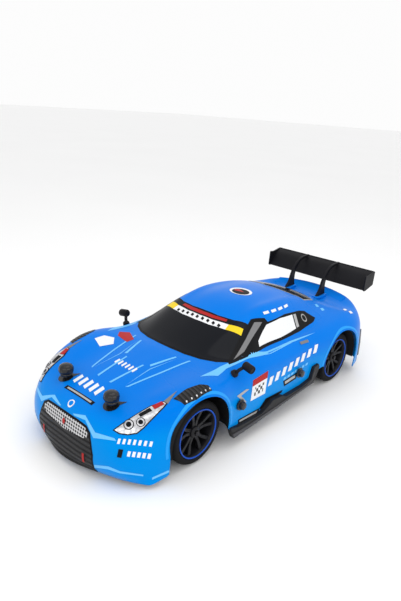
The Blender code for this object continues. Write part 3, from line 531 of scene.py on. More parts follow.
both("window_divider", silver_ink,
     [(-39.4, 67.2), (-43.2, 66.8), (-40.2, 58.8), (-36.4, 58.6)], "side", 0.34, 2.0)
both("filler_ring", silver_ink, oval((-51.5, 62.2), 3.1, 2.6), "side", 0.34, 0.8)
both("filler_cap", gasket, oval((-51.5, 62.2), 2.3, 1.9), "side", 0.42, 0.8)
both("door_handle", pillar_grey, bar((-31.5, 51.4), 10, 1.6, 2), "side", 0.5, 1.0)

# Nose: a silver mesh over dark slats in one opening, with a black lip below.
mesh_silver = finish("grille_mesh", Metallic=0.55)
across, upward = mesh_silver.axis("Y"), mesh_silver.axis("Z")
diagonal_a = (across * 900.0 + upward * 1100.0)._math("SINE", across * 1400.0 + upward * 1500.0)
diagonal_b = (across * 1400.0)._math("SINE", across * 1400.0 - upward * 1500.0)
holes = (diagonal_a * diagonal_b > 0.10)
mesh_silver.feed("Base Color", holes.blend((0.55, 0.55, 0.56), (0.02, 0.02, 0.022)))
mesh_silver.feed("Roughness", 0.3 + holes * 0.4)
slat_black = finish("grille_slats", Specular_IOR_Level=0.12)
ribs = slat_black._math("SINE", slat_black.axis("Z") * 1900.0)
slat_black.feed("Base Color", (ribs > 0.1).blend((0.008, 0.008, 0.009), (0.03, 0.03, 0.032)))
slat_black.feed("Roughness", 0.35 + ribs * 0.05)
slat_black.feed("Normal", slat_black.bump(ribs, 0.0006, 0.7))

mouth = [(0, 34.7), (12, 34.6), (20.5, 34.0), (24.8, 31.4), (27.2, 25.5), (29.4, 18.6),
         (29.2, 10), (28.0, 5.4)]
mouth_outline = mouth + [(-y, z) for y, z in reversed(mouth[1:])]
laid("grille_frame", gasket, mouth_outline, "front", 0.16)
laid("grille_slats", slat_black, shrunk(mouth_outline, 1.1), "front", 0.28)
mesh_half = [(0, 33.4), (12, 33.3), (20.2, 32.6), (23.0, 30.2), (22.8, 27.6), (20.0, 26.0), (0, 23.9)]
laid("grille_mesh", mesh_silver, mesh_half + [(-y, z) for y, z in reversed(mesh_half[1:-1])],
     "front", 0.42, 1, 1.6)
laid("nose_badge", red_ink, [(-1.6, 28.6), (0, 31.2), (1.6, 28.6), (0, 26.0)], "front", 0.9, 1, 0.8)
laid("front_lip", gasket,
     [(-29, 7.2), (0, 6.6), (29, 7.2), (29, 4.0), (0, 4.2), (-29, 4.0)], "front", 0.34)
for side, word in sides:
    laid(f"tow_eye_{word}", red_ink, bar((side * 21.4, 13.5), 1.8, 6.4), "front", 0.6, 1, 0.8)

# Head lamps: a black bezel, a silver reflector with two lens rings and a red marker.
chrome = finish("lamp_reflector", Metallic=0.7)
facets = chrome.node("ShaderNodeTexVoronoi", {},
                     {"Vector": chrome.node("ShaderNodeTexCoord", output=3), "Scale": 520.0})
chrome.feed("Base Color", facets.blend((0.80, 0.80, 0.82), (0.30, 0.30, 0.32)))
chrome.feed("Roughness", 0.18 + facets * 0.2)
lamp = on_corner((141.2, 38.2, 37.0), (139.9, 42.4, 35.8), (136.6, 46.6, 35.6), (132.6, 50.2, 36.6),
                 (128.8, 51.9, 39.7), (121.6, 53.2, 44.8), (114.4, 53.1, 48.0), (110.7, 52.4, 49.4),
                 (110.7, 49.1, 49.6), (118.2, 44.9, 47.2), (127.0, 43.0, 44.5), (134.6, 41.0, 41.3))
both("lamp_bezel", gasket, lamp, "corner", 0.20, 1.4)
both("lamp_reflector", chrome, shrunk(lamp, 0.7), "corner", 0.34, 1.4)
both("lamp_tip", pillar_grey, [(111.0, 49.2), (110.9, 52.8), (99.6, 49.4)], "top", 0.22, 1.2)
marker = on_corner((117.8, 46.2, 47.5), (111.9, 48.4, 49.3), (112.3, 51.4, 48.9), (118.6, 49.6, 46.9))
both("lamp_marker", red_ink, marker, "corner", 0.5, 1.2)
dark = on_corner((126.6, 44.2, 44.2), (119.6, 46.2, 46.8), (119.9, 49.0, 46.3), (126.8, 46.6, 43.6))
both("lamp_dark", gasket, dark, "corner", 0.48, 1.0)
for side, word in sides:
    for number, (spot, size) in enumerate((((134.0, 44.2, 40.6), 2.6), ((128.8, 48.8, 42.2), 2.3))):
        middle = on_corner(spot)[0]
        laid(f"lamp_well_{word}_{number}", gasket, oval(middle, size * 1.22, size * 1.16),
             "corner", 0.46, side, 0.8)
        laid(f"lamp_ring_{word}_{number}", chrome, oval(middle, size, size * 0.95),
             "corner", 0.56, side, 0.8)
        laid(f"lamp_lens_{word}_{number}", glazing, oval(middle, size * 0.62, size * 0.58),
             "corner", 0.66, side, 0.6)

# Bonnet and bumper markings: painted pale-blue highlights along the creases and edges, and plain bars
# in rows.
# Painted highlights in pale blue along the bonnet creases.
both("crease_highlight_low", sky_ink_and_highlight, [(118.4, 5.4), (118.0, 7.2), (91.6, 9.4), (91.8, 8.0)], "top", 0.14)
both("crease_highlight_loop", sky_ink_and_highlight,
     [(115.0, 17.6), (113.6, 19.2), (90.0, 24.6), (66.4, 29.0), (66.6, 27.6),
      (90.0, 23.2)], "top", 0.14)
both("crease_highlight_inner", sky_ink_and_highlight, [(114.6, 16.8), (92, 16.0), (70.4, 20.4), (92, 15.2)], "top", 0.14)
both("crease_highlight_short", sky_ink_and_highlight, [(88.6, 11.8), (89.8, 13.6), (70.4, 19.0), (69.8, 17.6)], "top", 0.14)
# Painted highlight along the edge above the grille mouth.
mouth_highlight_outline = on_corner((146.7, 6.3, 35.8), (144.6, 16.4, 38.2), (146.4, 28.4, 32.9), (142.1, 41.1, 33.3),
                   (141.7, 42.4, 31.9), (147.5, 28.0, 29.4), (145.9, 18.1, 36.2), (146.9, 7.7, 35.1))
both("crease_highlight_mouth", sky_ink_and_highlight, mouth_highlight_outline, "corner", 0.14)
# Painted highlights in pale blue: a streak along the crease above the front lip, and a glint low on
# each side of the bumper.
bumper_highlight_outline = on_corner((148.0, 29.5, 11.4), (145.3, 40.0, 14.7), (141.6, 46.2, 12.8), (131.7, 55.7, 10.6),
                   (131.9, 55.6, 9.6), (141.8, 46.0, 11.4), (145.6, 39.6, 12.6), (148.2, 29.4, 9.6))
both("bumper_streak_highlight", sky_ink_and_highlight, bumper_highlight_outline, "corner", 0.14, 1.4)
glint = on_corner((127.2, 58.6, 7.9), (116.4, 61.9, 9.7), (116.2, 61.9, 7.9), (127.3, 58.7, 6.4))
both("bumper_glint", sky_ink_and_highlight, glint, "corner", 0.14, 1.4)
both("bumper_tag", gasket,
     bar(on_corner((141.4, 45.6, 24.8))[0], 2.8, 4.6, 0, -0.4), "corner", 0.16, 1.0)
for side, word in sides:
    for count, size, first, last in ((7, 1.5, (140.4, 43.4, 31.6), (127.2, 56.4, 30.4)),
                                     (5, 1.7, (138.0, 49.6, 25.0), (128.8, 57.0, 23.0))):
        ends = on_corner(first, last)
        for number in range(count):
            share = number / (count - 1)
            centre = [a + (b - a) * share for a, b in zip(*ends)]
            laid(f"bumper_bar_{count}_{word}_{number}", white_ink, bar(centre, size, 2.9, 0, -0.3),
                 "corner", 0.16, side, 1.0)
for number in range(5):
    laid(f"bonnet_bar_{number}", white_ink,
         bar((127.6, -15.0 + number * 5.6), 7.4, 3.2, 0, 0.6), "top", 0.16)
laid("bonnet_tag", gasket, bar((137.2, -0.6), 2.9, 29.5), "top", 0.16)
laid("bonnet_tag_mark", silver_ink, bar((137.2, -0.6), 1.3, 25.0), "top", 0.26)
for number in range(6):
    laid(f"bonnet_small_bar_{number}", white_ink,
         bar((99.4, -9.4 + number * 3.6), 4.6, 1.9, 0, 0.5), "top", 0.16)
laid("nose_ring", white_ink, oval((144.0, 0.6), 2.0, 2.6), "top", 0.18, 1, 0.8)
laid("nose_ring_middle", lacquer, oval((144.0, 0.6), 1.3, 1.8), "top", 0.26, 1, 0.8)
laid("fender_panel_white", white_ink,
     [(95, -35), (86, -30.5), (80, -37), (84, -44), (92, -45)], "top", 0.16)
laid("fender_panel_red", red_ink, [(78, -25), (72, -24), (66, -36), (71, -42), (76, -38)], "top", 0.2)

# Doors and quarters: race number panel, slanted bars and a painted pale-blue highlight along each
# shoulder.
checker = finish("number_panel", Specular_IOR_Level=0.25)
squares = checker.node("ShaderNodeTexChecker", {},
                       {"Vector": checker.node("ShaderNodeTexCoord", output=3), "Scale": 400.0}, 1)
checker.feed("Base Color", squares.blend((0.80, 0.81, 0.83), (0.03, 0.03, 0.03)))
checker.feed("Roughness", 0.25 + checker.noise(800.0) * 0.1)
both("number_panel", white_ink, [(36.4, 42.8), (18.8, 44.4), (20.6, 27.0), (38.0, 27.2)], "side", 0.16)
both("number_header", red_ink, [(36.4, 42.8), (18.8, 44.4), (19.4, 39.2), (36.9, 38.2)], "side", 0.26)
both("number_check", checker, [(33.5, 36.4), (23.0, 37.0), (24.0, 30.0), (34.5, 29.8)], "side", 0.26)
both("side_vent", silver_ink,
     [(40.6, 37.6), (44.2, 38.8), (54.6, 37.6), (44.6, 28.4), (43.0, 28.8), (49.8, 36.0)], "side", 0.2)
both("sill_tag", gasket, [(-2, 29), (-20, 30.4), (-20, 25.2), (-4, 24)], "side", 0.18)
both("sill_tag_mark", silver_ink, [(-4, 28), (-18, 29.2), (-18, 26.8), (-5, 25.6)], "side", 0.28)
# Painted highlight in pale blue along each shoulder.
both("shoulder_highlight", sky_ink_and_highlight,
     [(78, 48.0), (66, 53.2), (54, 50.4), (33, 51.5), (10, 55.2), (-20, 54.6), (-50, 56.2), (-20, 52.6),
      (10, 52.0), (33, 47.8), (56, 46.6)], "top", 0.13)
for side, word in sides:
    for number in range(8):
        centre = (14.6 - number * 8.3, 34.9 + number * 1.25)
        laid(f"door_bar_{word}_{number}", white_ink, bar(centre, 4.4, 6.6, 0, -1.2), "side", 0.16, side)
    for number in range(7):
        laid(f"door_small_bar_{word}_{number}", sky_ink_and_highlight,
             bar((-4.0 - number * 4.8, 30.8 + number * 0.45), 3.4, 2.0, 0, -0.4), "side", 0.16, side)
    for number in range(4):
        laid(f"roof_bar_{word}_{number}", white_ink,
             bar((-8 - number * 9.0, 74.9 - number * 0.3), 6.0, 1.6, 0, 0), "side", 0.16, side, 1.0)
    for number in range(2):
        laid(f"quarter_bar_{word}_{number}", sky_ink_and_highlight,
             bar((-84 - number * 1.5, 35.5 + number * 5.0), 4.4, 3.0, 0, 0.6), "top", 0.16, side, 1.2)
        laid(f"haunch_bar_{word}_{number}", white_ink,
             bar((-109 - number * 1.0, 50.0 + number * 5.2), 4.2, 3.0, 0, 0.6), "top", 0.16, side, 1.2)

# Roof roundel, rear window slit and the rear lamps and panel.
laid("roundel_white", white_ink, oval((-17.5, 2.4), 8.4, 9.6, 28), "top", 0.16, 1, 1.6)
laid("roundel_black", gasket, oval((-16.5, 3.0), 6.4, 7.4, 24), "top", 0.26, 1, 1.6)
laid("roundel_red", red_ink,
     [(-20.5, -2.0), (-17.5, -3.8), (-14.5, -2.0), (-17.0, 6.0)], "top", 0.36, 1, 1.2)
slit = [(-55, 0), (-57, 13), (-62, 24), (-70, 30.5), (-88, 28.5), (-91, 20), (-93, 0)]
slit_outline = slit + [(x, -y) for x, y in reversed(slit[1:-1])]
laid("rear_window_surround", silver_ink, slit_outline, "top", 0.12)
laid("rear_window", glazing, shrunk(slit_outline, 1.0), "top", 0.26)
both("rear_corner", silver_ink,
     [(-124.2, 8.0), (-124.6, 20.0), (-126.4, 29.0), (-129.0, 36.6), (-133.0, 36.6),
      (-133.0, 8.0)], "side", 0.16)
# Painted highlight: a pale-blue band round each wheel opening, along the flare's edge.
for side, word in sides:
    for end, axle_x in axles.items():
        arc = [math.radians(-8 + 196 * k / 28) for k in range(29)]
        flare_highlight = [(axle_x + 30.2 * math.cos(t), wheel_height + 30.2 * math.sin(t)) for t in arc]
        flare_highlight += [(axle_x + 28.4 * math.cos(t),
                   wheel_height + 28.4 * math.sin(t)) for t in reversed(arc)]
        laid(f"{end}_flare_{word}", flare_highlight_paint, flare_highlight, "side", 0.12, side, 1.6)
tail_red = film("tail_lamp_red", (0.35, 0.01, 0.01), 0.1)
for side, word in sides:
    for number, y in enumerate((26.5, 39.0)):
        laid(f"tail_bezel_{word}_{number}", gasket, oval((y, 46.5), 5.2, 5.2, 24),
             "rear", 0.18, side, 1.2)
        laid(f"tail_lamp_{word}_{number}", tail_red, oval((y, 46.5), 4.2, 4.2, 24),
             "rear", 0.32, side, 1.2)
laid("tail_panel", gasket, [(-18, 34), (18, 34), (17, 26), (-17, 26)], "rear", 0.18)
laid("rear_valance", slat_black, [(-46, 19), (46, 19), (42, 9.5), (-42, 9.5)], "rear", 0.18)

# Boot lip: a low blue ridge along the trailing edge of the deck, cut off square at each end.


def bridged(form, rings):
    """Joins closed rings of points to one skin and caps both ends."""
    for first, second in zip(rings, rings[1:]):
        count = len(first)
        for k in range(count):
            j = (k + 1) % count
            form.faces.new((first[k], first[j], second[j], second[k]))
    form.faces.new(rings[0])
    form.faces.new(rings[-1])


def from_form(name, form, material, body, bevel=0.0):
    """Makes a piece of a bmesh, with its edges softened by bevel in millimetres."""
    bmesh.ops.recalc_face_normals(form, faces=form.faces)
    mesh = bpy.data.meshes.new(name)
    form.to_mesh(mesh)
    form.free()
    piece = new_piece(name, mesh, material, body)
    if bevel:
        soft = piece.modifiers.new("soft_edges", "BEVEL")
        soft.width = bevel * MM
        soft.segments = 2
        soft.limit_method = "ANGLE"
        soft.angle_limit = math.radians(35)
        soft.harden_normals = True
    return piece


form = bmesh.new()
ridge = []
for step in range(25):
    y = -37.0 + step * 74.0 / 24
    edge_x, edge_z = -139.6 + 0.0048 * y * y, 63.9 - 0.0014 * y * y
    toe, *_ = skin.ray_cast(Vector((edge_x + 9.0, y, 120)) * MM, Vector((0, 0, -1)))
    heel, *_ = skin.ray_cast(Vector((edge_x + 2.0, y, 120)) * MM, Vector((0, 0, -1)))
    section = [(edge_x + 9.0, toe.z / MM + 0.05), (edge_x + 0.6, edge_z), (edge_x - 0.4, edge_z - 0.3),
               (edge_x - 0.4, edge_z - 3.0), (edge_x + 2.0, heel.z / MM - 0.8)]
    ridge.append([form.verts.new(Vector((x, y, z)) * MM) for x, z in section])
bridged(form, ridge)
from_form("boot_lip", form, lacquer, "shell")

# ------------------------------------------------------------------ fender louvres
# Black ribbed vents, pressed in over each front wheel and held by small bright rivets.
vent_black = finish("vent_black", Specular_IOR_Level=0.2)
ribbing = vent_black._math("SINE", vent_black.axis("X") * 2300.0)
vent_black.feed("Base Color", (ribbing > 0.0).blend((0.008, 0.008, 0.009), (0.035, 0.035, 0.038)))
vent_black.feed("Roughness", 0.4 + ribbing * 0.08)
vent_black.feed("Normal", vent_black.bump(ribbing, 0.0008, 0.9))
bright = finish("bright_rivet", Metallic=0.9, Roughness=0.3)
bright.feed("Base Color", bright.noise(500.0).blend((0.6, 0.6, 0.6), (0.75, 0.75, 0.76)))
both("fender_louvre", vent_black,
     [(106.4, 52.6), (103.6, 59.8), (94.7, 61.6), (80.8, 61.4), (81.0, 58.0), (85.4, 54.8),
      (95, 52.6)], "top", 0.22, 1.2)
for side, word in sides:
    for number in range(6):
        laid(f"louvre_rivet_{word}_{number}", bright,
             oval((101.5 - number * 3.9, 59.2 + min(number, 2) * 0.5), 0.55, 0.55, 8),
             "top", 0.5, side, 0.5)

# ------------------------------------------------------------------ wheel arches
# A black liner stands behind each wheel opening. The front ones widen inwards, to leave room for
# the steered wheels, and the rear ones end in a flat wall round the axle.
liner = mottled("arch_liner", 300.0, (0.006, 0.006, 0.006), (0.014, 0.014, 0.015), (0.75, 0.15), 200.0,
                Specular_IOR_Level=0.15)
liner_cap = 26.6
liner_rings = {"front": ((63.0, 26.6), (57.0, 30.4), (39.0, 30.4)),
               "rear": ((63.0, 26.6), (57.0, 26.4), (36.5, 26.4), (36.5, 18.5))}
for end, axle_x in axles.items():
    for side, word in sides:
        form = bmesh.new()
        rings = []
        for depth, radius in liner_rings[end]:
            ring = []
            for k in range(33):
                angle = math.radians(-12 + 204 * k / 32)
                ring.append(form.verts.new((
                    (axle_x + radius * math.cos(angle)) * MM, side * depth * MM,
                    (wheel_height + min(radius * math.sin(angle), liner_cap)) * MM)))
            rings.append(ring)
        for first, second in zip(rings, rings[1:]):
            for k in range(32):
                form.faces.new((first[k], first[k + 1], second[k + 1], second[k]))
        mesh = bpy.data.meshes.new(f"arch_liner_{end}_{word}")
        form.to_mesh(mesh)
        form.free()
        new_piece(f"arch_liner_{end}_{word}", mesh, liner, "shell")

# ------------------------------------------------------------------ wheels
# Each wheel is one black moulding with five forked spokes and a blue band printed round its
# edge, with a plain rubber tyre pushed over it and a nut in the middle.


def ringed(form, profile, centre, side, steps=48, closed=True):
    """Turns a profile of (radius, offset outwards) about a line along Y through the centre."""
    rings = []
    for k in range(steps):
        angle = 2 * math.pi * k / steps
        rings.append([form.verts.new(((centre[0] + r * math.cos(angle)) * MM,
                                      (centre[1] + side * off) * MM,
                                      (centre[2] + r * math.sin(angle)) * MM)) for r, off in profile])
    count = len(profile)
    for k in range(steps):
        here, there = rings[k], rings[(k + 1) % steps]
        for i in range(count if closed else count - 1):
            j = (i + 1) % count
            form.faces.new((here[i], here[j], there[j], there[i]))
    if not closed:
        for end in (0, count - 1):
            form.faces.new([ring[end] for ring in rings])


rubber = finish("tyre_rubber", Specular_IOR_Level=0.12)
scuff = rubber.noise(90.0, 4.0)
rubber.feed("Base Color", scuff.blend((0.003, 0.003, 0.004), (0.010, 0.010, 0.011)))
rubber.feed("Roughness", 0.62 + scuff * 0.25)
rubber.feed("Normal", rubber.bump(rubber.noise(1400.0, 2.0), 0.00015, 0.5))
wheel_black = mottled("wheel_black", 220.0, (0.003, 0.003, 0.004), (0.012, 0.012, 0.015), (0.28, 0.15),
                      Specular_IOR_Level=0.2)
wheel_blue = film("wheel_blue", (0.015, 0.085, 0.50), 0.25)
nut_steel = mottled("nut_steel", 600.0, (0.012, 0.012, 0.014), (0.05, 0.05, 0.055), (0.3, 0.2), 300.0,
                    Metallic=0.9)


def strut(form, start, end, wide_start, wide_end, face, thick, side, rise=0.0):
    """A tapered bar in the wheel's plane; points are (x, z) and face is its outer y offset."""
    along = Vector((end[0] - start[0], end[1] - start[1])).normalized()
    across = Vector((-along.y, along.x))
    corners = []
    for (x, z), width, lift in ((start, wide_start, 0.0), (end, wide_end, rise)):
        for way in (-1, 1):
            for depth in (0.0, -thick):
                corners.append(form.verts.new(((x + across.x * way * width / 2) * MM,
                                               side * (face + lift + depth) * MM,
                                               (z + across.y * way * width / 2) * MM)))
    a, b, c, d, e, f, g, h = corners
    for loop in ((a, b, d, c), (e, g, h, f), (a, e, f, b), (c, d, h, g), (a, c, g, e), (b, f, h, d)):
        form.faces.new(loop)


for end, axle_x in axles.items():
    for side, word in sides:
        body = f"{end}_wheel_{word}"
        centre = (axle_x, side * wheel_middle, wheel_height)
        form = bmesh.new()
        ringed(form,
               [(17.0, 9.5), (16.4, 9.5), (15.9, 8.8), (15.3, 7.2), (14.9, 0.0), (15.2, -9.2),
                (17.0, -9.4)], centre, side, 56)
        for index in range(5):
            middle = math.radians(90 + 72 * index)
            for lean in (-1, 1):
                root = middle + lean * math.radians(20)
                knee = middle + lean * math.radians(11)
                tip = middle + lean * math.radians(16)
                at = [(axle_x + r * math.cos(t), wheel_height + r * math.sin(t))
                      for r, t in ((2.6, root), (8.6, knee), (15.6, tip))]
                strut(form, at[0], at[1], 2.4, 2.1, 56.2, 2.6, side, 0.5)
                strut(form, at[1], at[2], 2.1, 2.6, 56.7, 2.4, side, 1.2)
        ringed(form, [(0.01, 58.0), (2.6, 58.0), (3.9, 57.2), (4.3, 55.6), (4.3, 45.0)],
               (axle_x, 0, wheel_height), side, 24, False)
        rim = from_form(f"{end}_rim_moulding_{word}", form, wheel_black, body, 0.28)
        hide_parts(f"{end}_rim_{word}")
        form = bmesh.new()
        ringed(form,
               [(17.1, 9.35), (17.1, 9.95), (16.8, 10.1), (16.35, 9.95),
                (16.2, 9.55)], centre, side, 64)
        band = from_form(f"{end}_rim_band_{word}", form, wheel_blue, body)
        form = bmesh.new()
        ringed(form, [(14.95, -2.0), (14.95, -2.6), (4.0, -3.0), (4.0, -2.4)], centre, side, 40)
        from_form(f"{end}_brake_disc_{word}", form, nut_steel, body)
        form = bmesh.new()
        ringed(form, [(0.01, 59.6), (1.2, 59.6), (1.9, 59.2), (2.0, 57.6)],
               (axle_x, 0, wheel_height), side, 6, False)
        from_form(f"{end}_wheel_nut_{word}", form, nut_steel, body, 0.15)
        form = bmesh.new()
        tread = [(22.0, 0.0), (22.0, 7.0), (21.8, 8.2), (21.2, 9.2), (20.3, 9.8), (19.0, 10.0),
                 (17.6, 9.7), (17.25, 9.2), (17.2, 0.0)]
        outline = tread + [(r, -off) for r, off in reversed(tread[1:-1])]
        ringed(form, outline, centre, side, 72)
        tyre = from_form(f"{end}_tyre_moulding_{word}", form, rubber, body)
        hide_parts(f"{end}_tyre_{word}")

# ------------------------------------------------------------------ rear wing
# A satin black blade between two end plates, hung from two swan-neck stands that are screwed
# through blue pads on the boot lid.
satin = finish("satin_black", Specular_IOR_Level=0.12)
grain = satin.noise(700.0, 3.0)
satin.feed("Base Color", satin.noise(40.0).blend((0.004, 0.004, 0.005), (0.011, 0.011, 0.014)))
satin.feed("Roughness", 0.36 + grain * 0.14)
satin.feed("Normal", satin.bump(grain, 0.00008, 0.4))


def slab(name, outline, low, high, material, body, bevel=0.25):
    """An outline in x, z given thickness along y, with soft edges."""
    form = bmesh.new()
    ends = [[form.verts.new(Vector((a, t, b)) * MM) for a, b in outline] for t in (low, high)]
    form.faces.new(ends[0])
    form.faces.new(list(reversed(ends[1])))
    for k in range(len(outline)):
        j = (k + 1) % len(outline)
        form.faces.new((ends[0][k], ends[1][k], ends[1][j], ends[0][j]))
    return from_form(name, form, material, body, bevel)


def smooth_line(points, parts=5):
    """Catmull-Rom points through an open line."""
    line = []
    padded = [points[0], *points, points[-1]]
    for a, b, c, d in zip(padded, padded[1:], padded[2:], padded[3:]):
        for k in range(parts):
            t = k / parts
            line.append(tuple(
                0.5 * (2 * q + (r - p) * t + (2 * p - 5 * q + 4 * r - s) * t * t
                       + (3 * q - p - 3 * r + s) * t ** 3)
                for p, q, r, s in zip(a, b, c, d)))
    return line + [points[-1]]


blade = (smooth_line([(-134.1, 71.7), (-137.3, 76.2), (-140.7, 80.5), (-144.5, 84.0),
                      (-150.0, 86.5)]) + smooth_line([(-150.8, 85.9), (-145.3, 82.7), (-141.9, 79.2),
                                                      (-138.7, 75.1), (-135.5, 71.1)]))
wing = slab("wing_blade", blade, -52.0, 52.0, satin, "shell", 0.0)
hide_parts("rear_wing")
slab("wing_lip", [(-149.4, 86.2), (-150.2, 87.2), (-151.0, 86.9), (-150.7, 85.7)], -52.0,
     52.0, satin, "shell", 0.1)
plate_outline = [(-133.2, 72.0), (-133.8, 84.7), (-134.5, 85.4), (-139, 84.8), (-150.5, 87.0),
                 (-151.0, 86.7), (-150.4, 74.7), (-149.7, 74.0), (-136.0, 70.7), (-134.0, 71.0)]
for side, word in sides:
    slab(f"wing_end_plate_{word}", plate_outline,
         *sorted((side * 52.1, side * 53.4)), satin, "shell", 0.3)
    stand_outline = smooth_line([(-112.6, 60.0), (-118, 66), (-121, 74), (-126, 81.3), (-133, 86.2),
                                 (-140, 87.8), (-148.4, 88.1)], 4)
    stand_outline += smooth_line([(-148.3, 86.9), (-144.2, 85.2), (-140.2, 85.0), (-134, 83.7),
                                  (-129, 78.6), (-126.1, 72), (-126.4, 64.5), (-127.6, 60.2)], 4)
    stand = slab(f"wing_stand_moulding_{word}", stand_outline,
                 *sorted((side * 15.8, side * 18.0)), satin, "shell", 0.3)
    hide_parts(f"wing_stand_{word}")
    slab(f"wing_pad_{word}",
         [(-127.4, 59.3), (-122.0, 57.9), (-116.0, 58.3), (-111.6, 59.2), (-112.4, 60.6), (-117, 60.4),
          (-122.4, 60.6), (-127.6, 61.2)], *sorted((side * 13.6, side * 20.2)), lacquer, "shell", 0.5)

# ------------------------------------------------------------------ mirrors
# Small round black pods on bent arms, plugged into the base of the screen pillars.


def tube_piece(name, points, radius, material, body, taper=1.0):
    """A bent round bar through points, thinner towards its end by taper."""
    line = smooth_line(points, 5)
    form = bmesh.new()
    rings = []
    for index, spot in enumerate(line):
        here = Vector(spot)
        ahead = Vector(line[min(index + 1, len(line) - 1)]) - Vector(line[max(index - 1, 0)])
        across = ahead.cross(Vector((0, 0, 1)))
        across = across.normalized() if across.length > 0.01 else Vector((1, 0, 0))
        other = ahead.cross(across).normalized()
        size = radius * (1 + (taper - 1) * index / (len(line) - 1))
        rings.append([form.verts.new((here + size * (math.cos(t) * across + math.sin(t) * other)) * MM)
                      for t in (2 * math.pi * k / 12 for k in range(12))])
    bridged(form, rings)
    return from_form(name, form, material, body)


def spun(name, profile, start, end, material, body, steps=32, flutes=0, depth=0.0):
    """Turns (radius, distance) about the line from start towards end; flutes notch its radius."""
    start, end = Vector(start), Vector(end)
    along = (end - start).normalized()
    across = along.orthogonal().normalized()
    other = along.cross(across)
    form = bmesh.new()
    rings = []
    for r, distance in profile:
        ring = []
        for k in range(steps):
            t = 2 * math.pi * k / steps
            size = r * (1 - depth * (0.5 + 0.5 * math.cos(flutes * t))) if flutes else r
            arm = size * (math.cos(t) * across + math.sin(t) * other)
            ring.append(form.verts.new((start + along * distance + arm) * MM))
        rings.append(ring)
    bridged(form, rings)
    return from_form(name, form, material, body)


for side, word in sides:
    pod = spun(f"mirror_pod_{word}",
               [(1.8, 0.0), (2.6, 0.3), (2.95, 1.0), (2.95, 7.4), (2.6, 8.1), (2.2, 8.2), (2.0, 7.8)],
               (47.6, side * 60.2, 58.2), (48.2, side * 68.4, 56.8), satin, "shell")
    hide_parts(f"mirror_{word}")
    tube_piece(f"mirror_arm_{word}",
               [(51.6, side * 57.4, 52.6), (50.8, side * 58.8, 54.6), (49.4, side * 60.6, 56.4),
                (48.2, side * 62.4, 57.4)], 1.3, satin, "shell", 0.9)
    spun(f"mirror_foot_{word}", [(2.7, -1.4), (2.7, 0.6), (2.2, 1.4), (1.0, 1.7)],
         (52.2, side * 56.6, 51.8), (51.0, side * 59.0, 54.0), satin, "shell", 20)

# ------------------------------------------------------------------ side skirts
# A black board along each sill, stepped up to a fin ahead of the rear wheel, with a grey edge. A
# grey fin of the same kind stands at each rear corner.
skirt_black = finish("skirt_black", Specular_IOR_Level=0.25)
wear = skirt_black.noise(120.0, 3.0)
skirt_black.feed("Base Color", wear.blend((0.004, 0.004, 0.005), (0.016, 0.016, 0.018)))
skirt_black.feed("Roughness", 0.4 + wear * 0.2)
skirt_black.feed("Normal", skirt_black.bump(skirt_black.noise(500.0), 0.0002, 0.3))
skirt_grey = mottled("skirt_grey", 160.0, (0.035, 0.035, 0.04), (0.06, 0.06, 0.066), (0.45, 0.15), 90.0,
                     Specular_IOR_Level=0.3)
skirt_line = [(57.6, 7.0), (61.8, 16.4), (52.7, 14.5), (27, 14.1), (20.1, 16.7), (13.1, 20.2),
              (0.9, 19.2), (-3.5, 16.9), (-26, 17.3), (-38.4, 19.5), (-41.1, 28.9), (-47.6, 30.2),
              (-49.7, 26.9), (-43.5, 14.7), (-25.3, 13.7), (47.6, 7.7)]
both("sill_strip", gasket, [(51.0, 17.8), (25.4, 16.8), (27.2, 12.6), (50.6, 13.6)], "side", 0.16)
both("sill_strip_mark", silver_ink,
     [(49.6, 16.8), (28.2, 15.9), (29.2, 14.2), (49.2, 15.2)], "side", 0.26)
both("sill_ramp", gasket,
     [(25.4, 16.8), (18.9, 22.0), (-2.6, 21.6), (-1.4, 19.5), (14.0, 19.4), (24.0, 14.5)], "side", 0.16)
for side, word in sides:
    near = side * 65.0
    skirt = slab(f"skirt_{word}", skirt_line, *sorted((side * 61.0, near)), skirt_black, "shell", 0.3)
    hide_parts(f"side_skirt_{word}")
    slab(f"skirt_edge_{word}",
         [(58.2, 8.2), (59.6, 11.4), (47, 11.4), (8, 13.6), (-25, 15.8), (-40.6, 16.6), (-43.2, 15.2),
          (-25.2, 14.1), (47.6, 8.2)], *sorted((near - side * 1.0, side * 65.6)),
         skirt_grey, "shell", 0.25)
    # A grey strip up the front edge of each fin is a painted highlight.
    slab(f"skirt_fin_highlight_{word}",
         [(-32.5, 16.6), (-38.6, 18.3), (-41.6, 26.0), (-42.8, 26.0), (-40.0, 17.2), (-33, 15.8)],
         *sorted((near - side * 0.5, near + side * 0.35)), skirt_grey, "shell", 0.2)
    slab(f"rear_plate_{word}",
         [(-132.5, 9.5), (-131.5, 27), (-130.2, 36), (-131.6, 36.4), (-134.2, 22), (-134.6, 9.5)],
         *sorted((side * 54.5, side * 58.4)), pillar_grey, "shell", 0.2)

